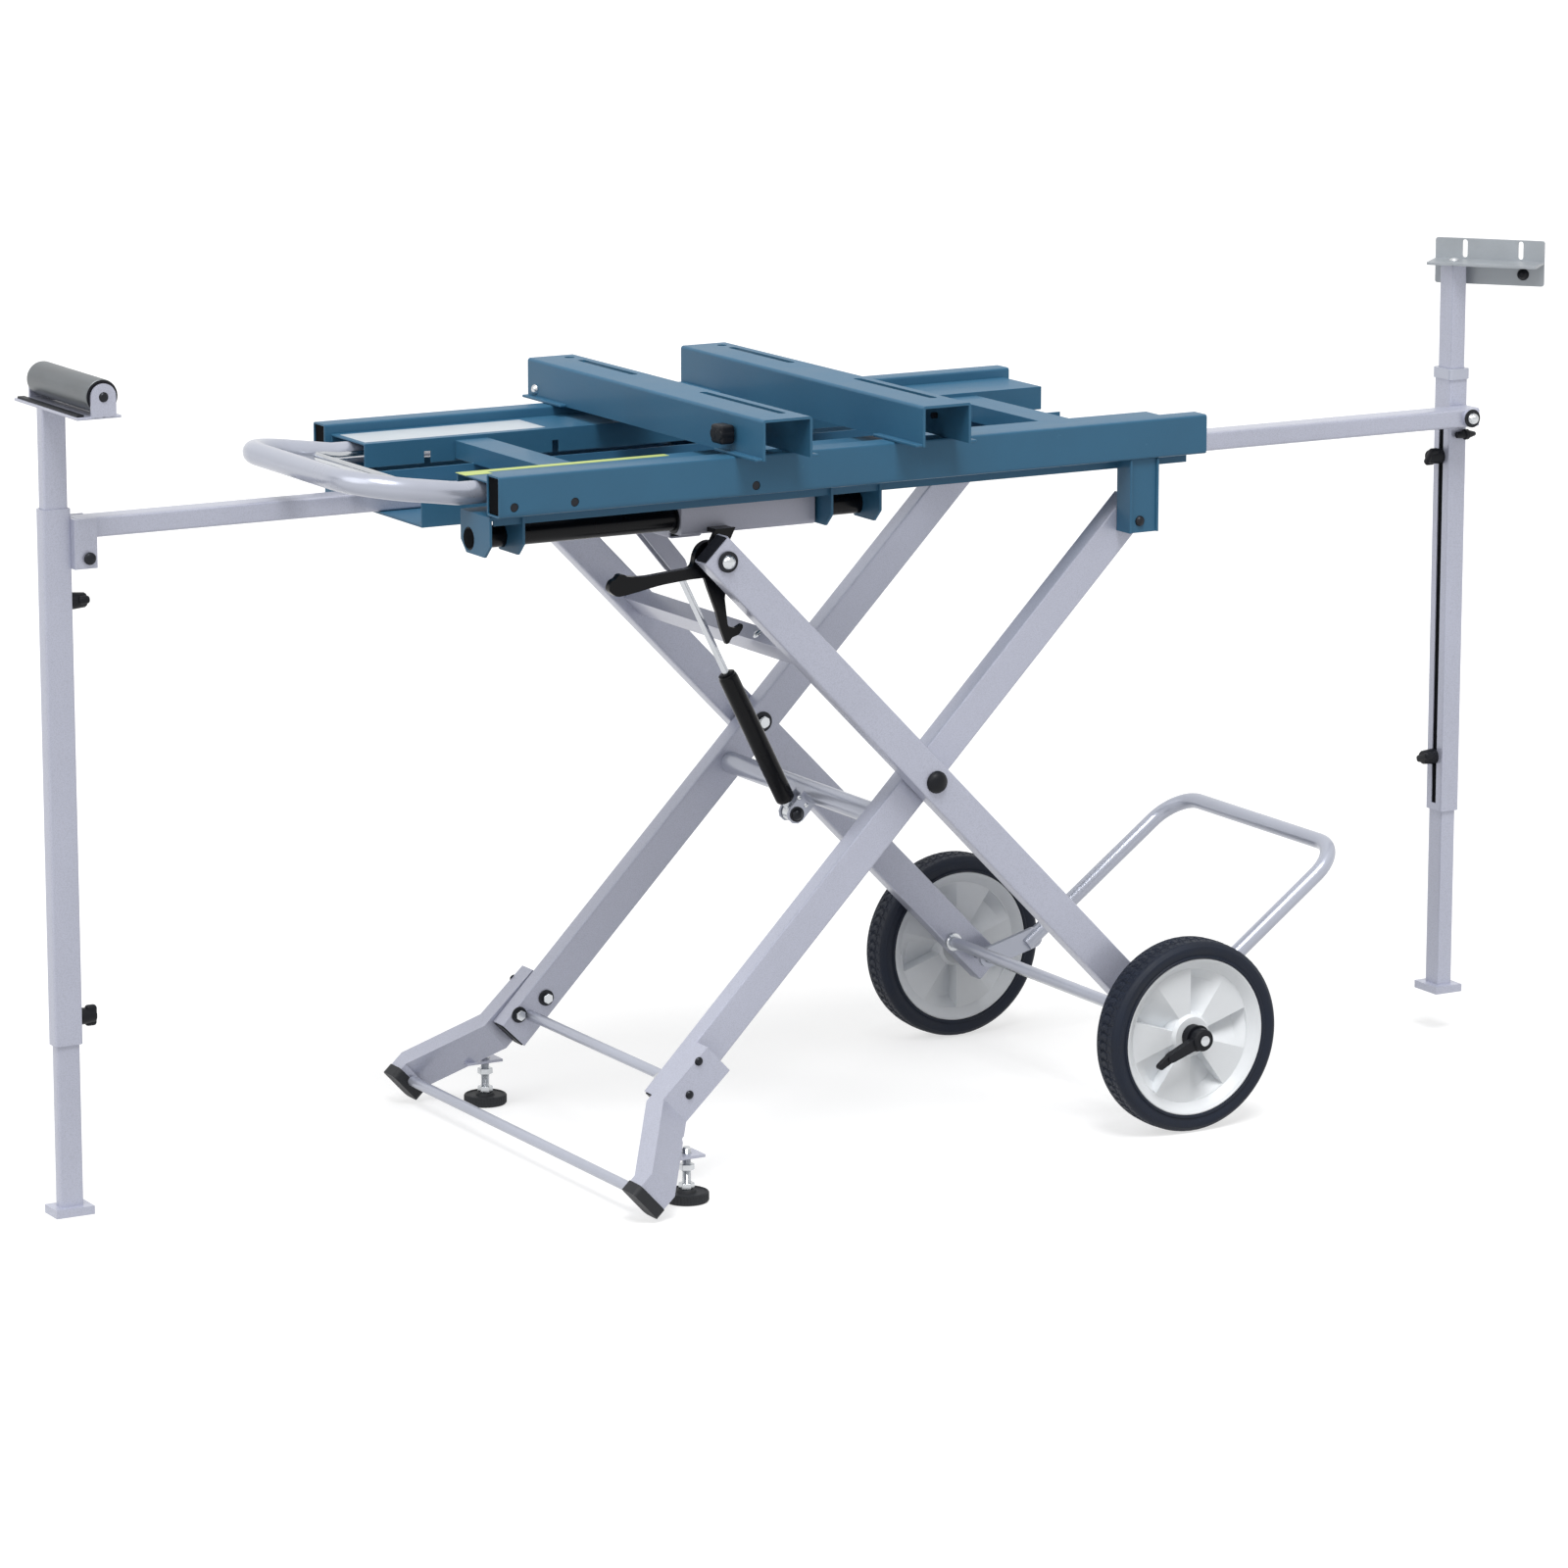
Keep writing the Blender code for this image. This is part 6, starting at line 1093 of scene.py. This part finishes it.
# clamp knobs on the posts: two wings on a collar, each stopped at its own turn
postKnob = dict(wing=((0.0062, -0.0044, -0.0115), (0.0192, 0.0044, 0.0115)), turns=dict(
    post_knob_left_upper=80, post_knob_left_lower=5, post_knob_right_upper=35, post_knob_right_lower=70))
for name, turn in postKnob["turns"].items():
    face = 1 if "left" in name else -1
    at = jointAt[f"{name}_turn"]
    wing = addBlock(f"{name}_wing", *postKnob["wing"], 0.0034)
    wing.data.transform(Matrix.Rotation(math.radians(turn), 4, "X"))
    wing.data.transform(Matrix.Translation(at) @ Matrix.Diagonal((face, 1, 1, 1)))
    cleanMesh(wing)
    collar = addTurned(f"{name}_collar", [
        (0, 0.0178), (0.0070, 0.0175), (0.0080, 0.0160), (0.0090, 0.0040), (0.0090, 0.0), (0.0033, 0.0),
        (0.0033, -0.0024), (0, -0.0024)], at, (face, 0, 0), 40)
    knob = joinPieces(f"{name}_knob", [wing, collar])
    finishPiece(knob, blackPlastic, name, 32)
    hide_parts(name)

# the roller: a thin galvanised tube with pressed end discs, and the axle's black ends
rollerShape = dict(half=0.077, radius=0.0180, bore=0.0062, discDeep=0.0042)
low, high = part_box("roller")
spin = jointAt["roller_spin"]
rollerEnd = [(rollerShape["bore"], rollerShape["discDeep"]), (0.0150, rollerShape["discDeep"]), (0.0160, 0.0008),
             (0.0168, 0.0), (0.0178, 0.0008), (rollerShape["radius"], 0.0022)]  # radius, and depth from the end
half = rollerShape["half"]
shell = addTurned("rollerShell", [(r, half - deep) for r, deep in rollerEnd]
                  + [(r, -half + deep) for r, deep in reversed(rollerEnd)], spin, (0, -1, 0), 96)
finishPiece(shell, rollerZinc, "roller")
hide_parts("roller")
for name, sign, y in (("near", -1, low.y), ("far", 1, high.y)):
    stub = addTurned(f"rollerAxle_{name}", [(0, 0.0), (0.0036, -0.0003), (0.0048, -0.0014), (0.0049, -0.012),
                                            (0, -0.012)], (spin.x, y, spin.z), (0, sign, 0), 36)
    finishPiece(stub, darkBolt, "roller")
    seal = addTurned(f"rollerSeal_{name}", [(0.0052, 0.0), (0.0166, 0.0), (0.0172, 0.0006), (0.0172, 0.0012),
                                            (0.0052, 0.0012)],
                     (spin.x, spin.y + sign * (half - 0.0006), spin.z), (0, sign, 0), 64)
    finishPiece(seal, blackPlastic, "roller", slotName="roller_zinc")

# the roller's yoke on its arm, with a black pad on the base
yoke = dict(sheet=0.003, cheek=0.0140, baseHalf=0.0195, space=0.0195, arm=(0.027, 0.015), armY=0.0466, bore=0.0052)
low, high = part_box("roller_arm")
armX, sheet, cheek = low.x + yoke["arm"][0] / 2, yoke["sheet"], yoke["cheek"]
yokeZ = spin.z - yoke["space"] - sheet
armTube = addProfile("rollerArmTube", [roundedLoop(*yoke["arm"], 0.0022)], (armX, yoke["armY"], low.z),
                     (armX, yoke["armY"], yokeZ + 0.001), (0, 1, 0), 0.0004)
base = addBlock("rollerYokeBase", (low.x, low.y, yokeZ), (spin.x + yoke["baseHalf"], high.y, yokeZ + sheet), 0.0008)
arch = [(spin.x - cheek, yokeZ + 0.0005)]
arch += [(spin.x + cheek * math.cos(a), spin.z + cheek * math.sin(a))
         for a in (math.pi * (1 - k / 18) for k in range(19))]
arch.append((spin.x + cheek, yokeZ + 0.0005))
cheeks = [addPlate("rollerCheek", [arch, ringLoop(yoke["bore"], 28, spin.x, spin.z)], y0, y1, 0.0006)
          for y0, y1 in ((low.y, low.y + sheet), (high.y - sheet, high.y))]
rollerYoke = joinPieces("rollerYoke", [armTube, base] + cheeks)
finishPiece(rollerYoke, silverEnamel, "roller_arm", 30)
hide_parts("roller_arm")
rollerPad = addBlock("rollerPad", (low.x + 0.002, low.y + 0.0036, yokeZ + sheet - 0.0002),
                     (low.x + 0.010, high.y - 0.0036, yokeZ + sheet + 0.0022), 0.0006)
finishPiece(rollerPad, blackPlastic, "roller_arm", slotName="silver_paint")

# the stop head: a folded sheet with rounded corners and two slots in its upright, turned on the arm
stop = dict(turn=-48.7, length=0.129, shift=0.038, back=0.020, front=0.026, below=0.026, above=0.027, sheet=0.003,
            gap=0.0003, corner=0.003, slotHalf=0.0030, slotZ=(0.0075, 0.0225), slotsAt=(0.028, 0.094), pin=0.0039)
head = jointAt["stop_head_turn"]
headTurn = math.radians(stop["turn"])
headWay = Vector((math.cos(headTurn), math.sin(headTurn), 0))
headBack = Vector((-headWay.y, headWay.x, 0))
shelfZ = head.z + stop["gap"]
middle = Vector((head.x, head.y, shelfZ)) + headWay * stop["shift"]
shelfAt = middle + headBack * ((stop["back"] - stop["front"]) / 2)
shelf = addProfile("stopShelf", [roundedLoop(stop["length"], stop["front"] + stop["back"] + 0.001, stop["corner"])],
                   shelfAt, shelfAt + Vector((0, 0, stop["sheet"])), headBack, 0.0005)
plate = roundedLoop(stop["length"], stop["below"] + stop["above"], stop["corner"], 0,
                    (stop["above"] - stop["below"]) / 2)
z0, z1 = stop["slotZ"]
plateSlots = [barLoop(u, z0, u, z1, stop["slotHalf"]) for u in (x - stop["length"] / 2 for x in stop["slotsAt"])]
upright = addProfile("stopUpright", [plate] + plateSlots, middle + headBack * stop["back"],
                     middle + headBack * (stop["back"] + stop["sheet"]), (0, 0, 1), 0.0005)
pin = addRod("stopPin", stop["pin"], (head.x, head.y, shelfZ - 0.009), (head.x, head.y, shelfZ + 0.001), 24)
stopHead = joinPieces("stopHead", [shelf, upright, pin])
finishPiece(stopHead, millSteel, "stop_head", 32)
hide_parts("stop_head")
studAt = middle + headWay * 0.040 + headBack * (stop["back"] - 0.0002) - Vector((0, 0, 0.0125))
addHexBolt("stopStud", studAt, -headBack, 0.0068, blackPlastic, "stop_head", domed=True, height=0.0085)
addHexBolt("stopBolt", (head.x, head.y, shelfZ + stop["sheet"]), (0, 0, 1), 0.0062, brightSteel, "stop_head",
           domed=True, height=0.0036)


print("done")
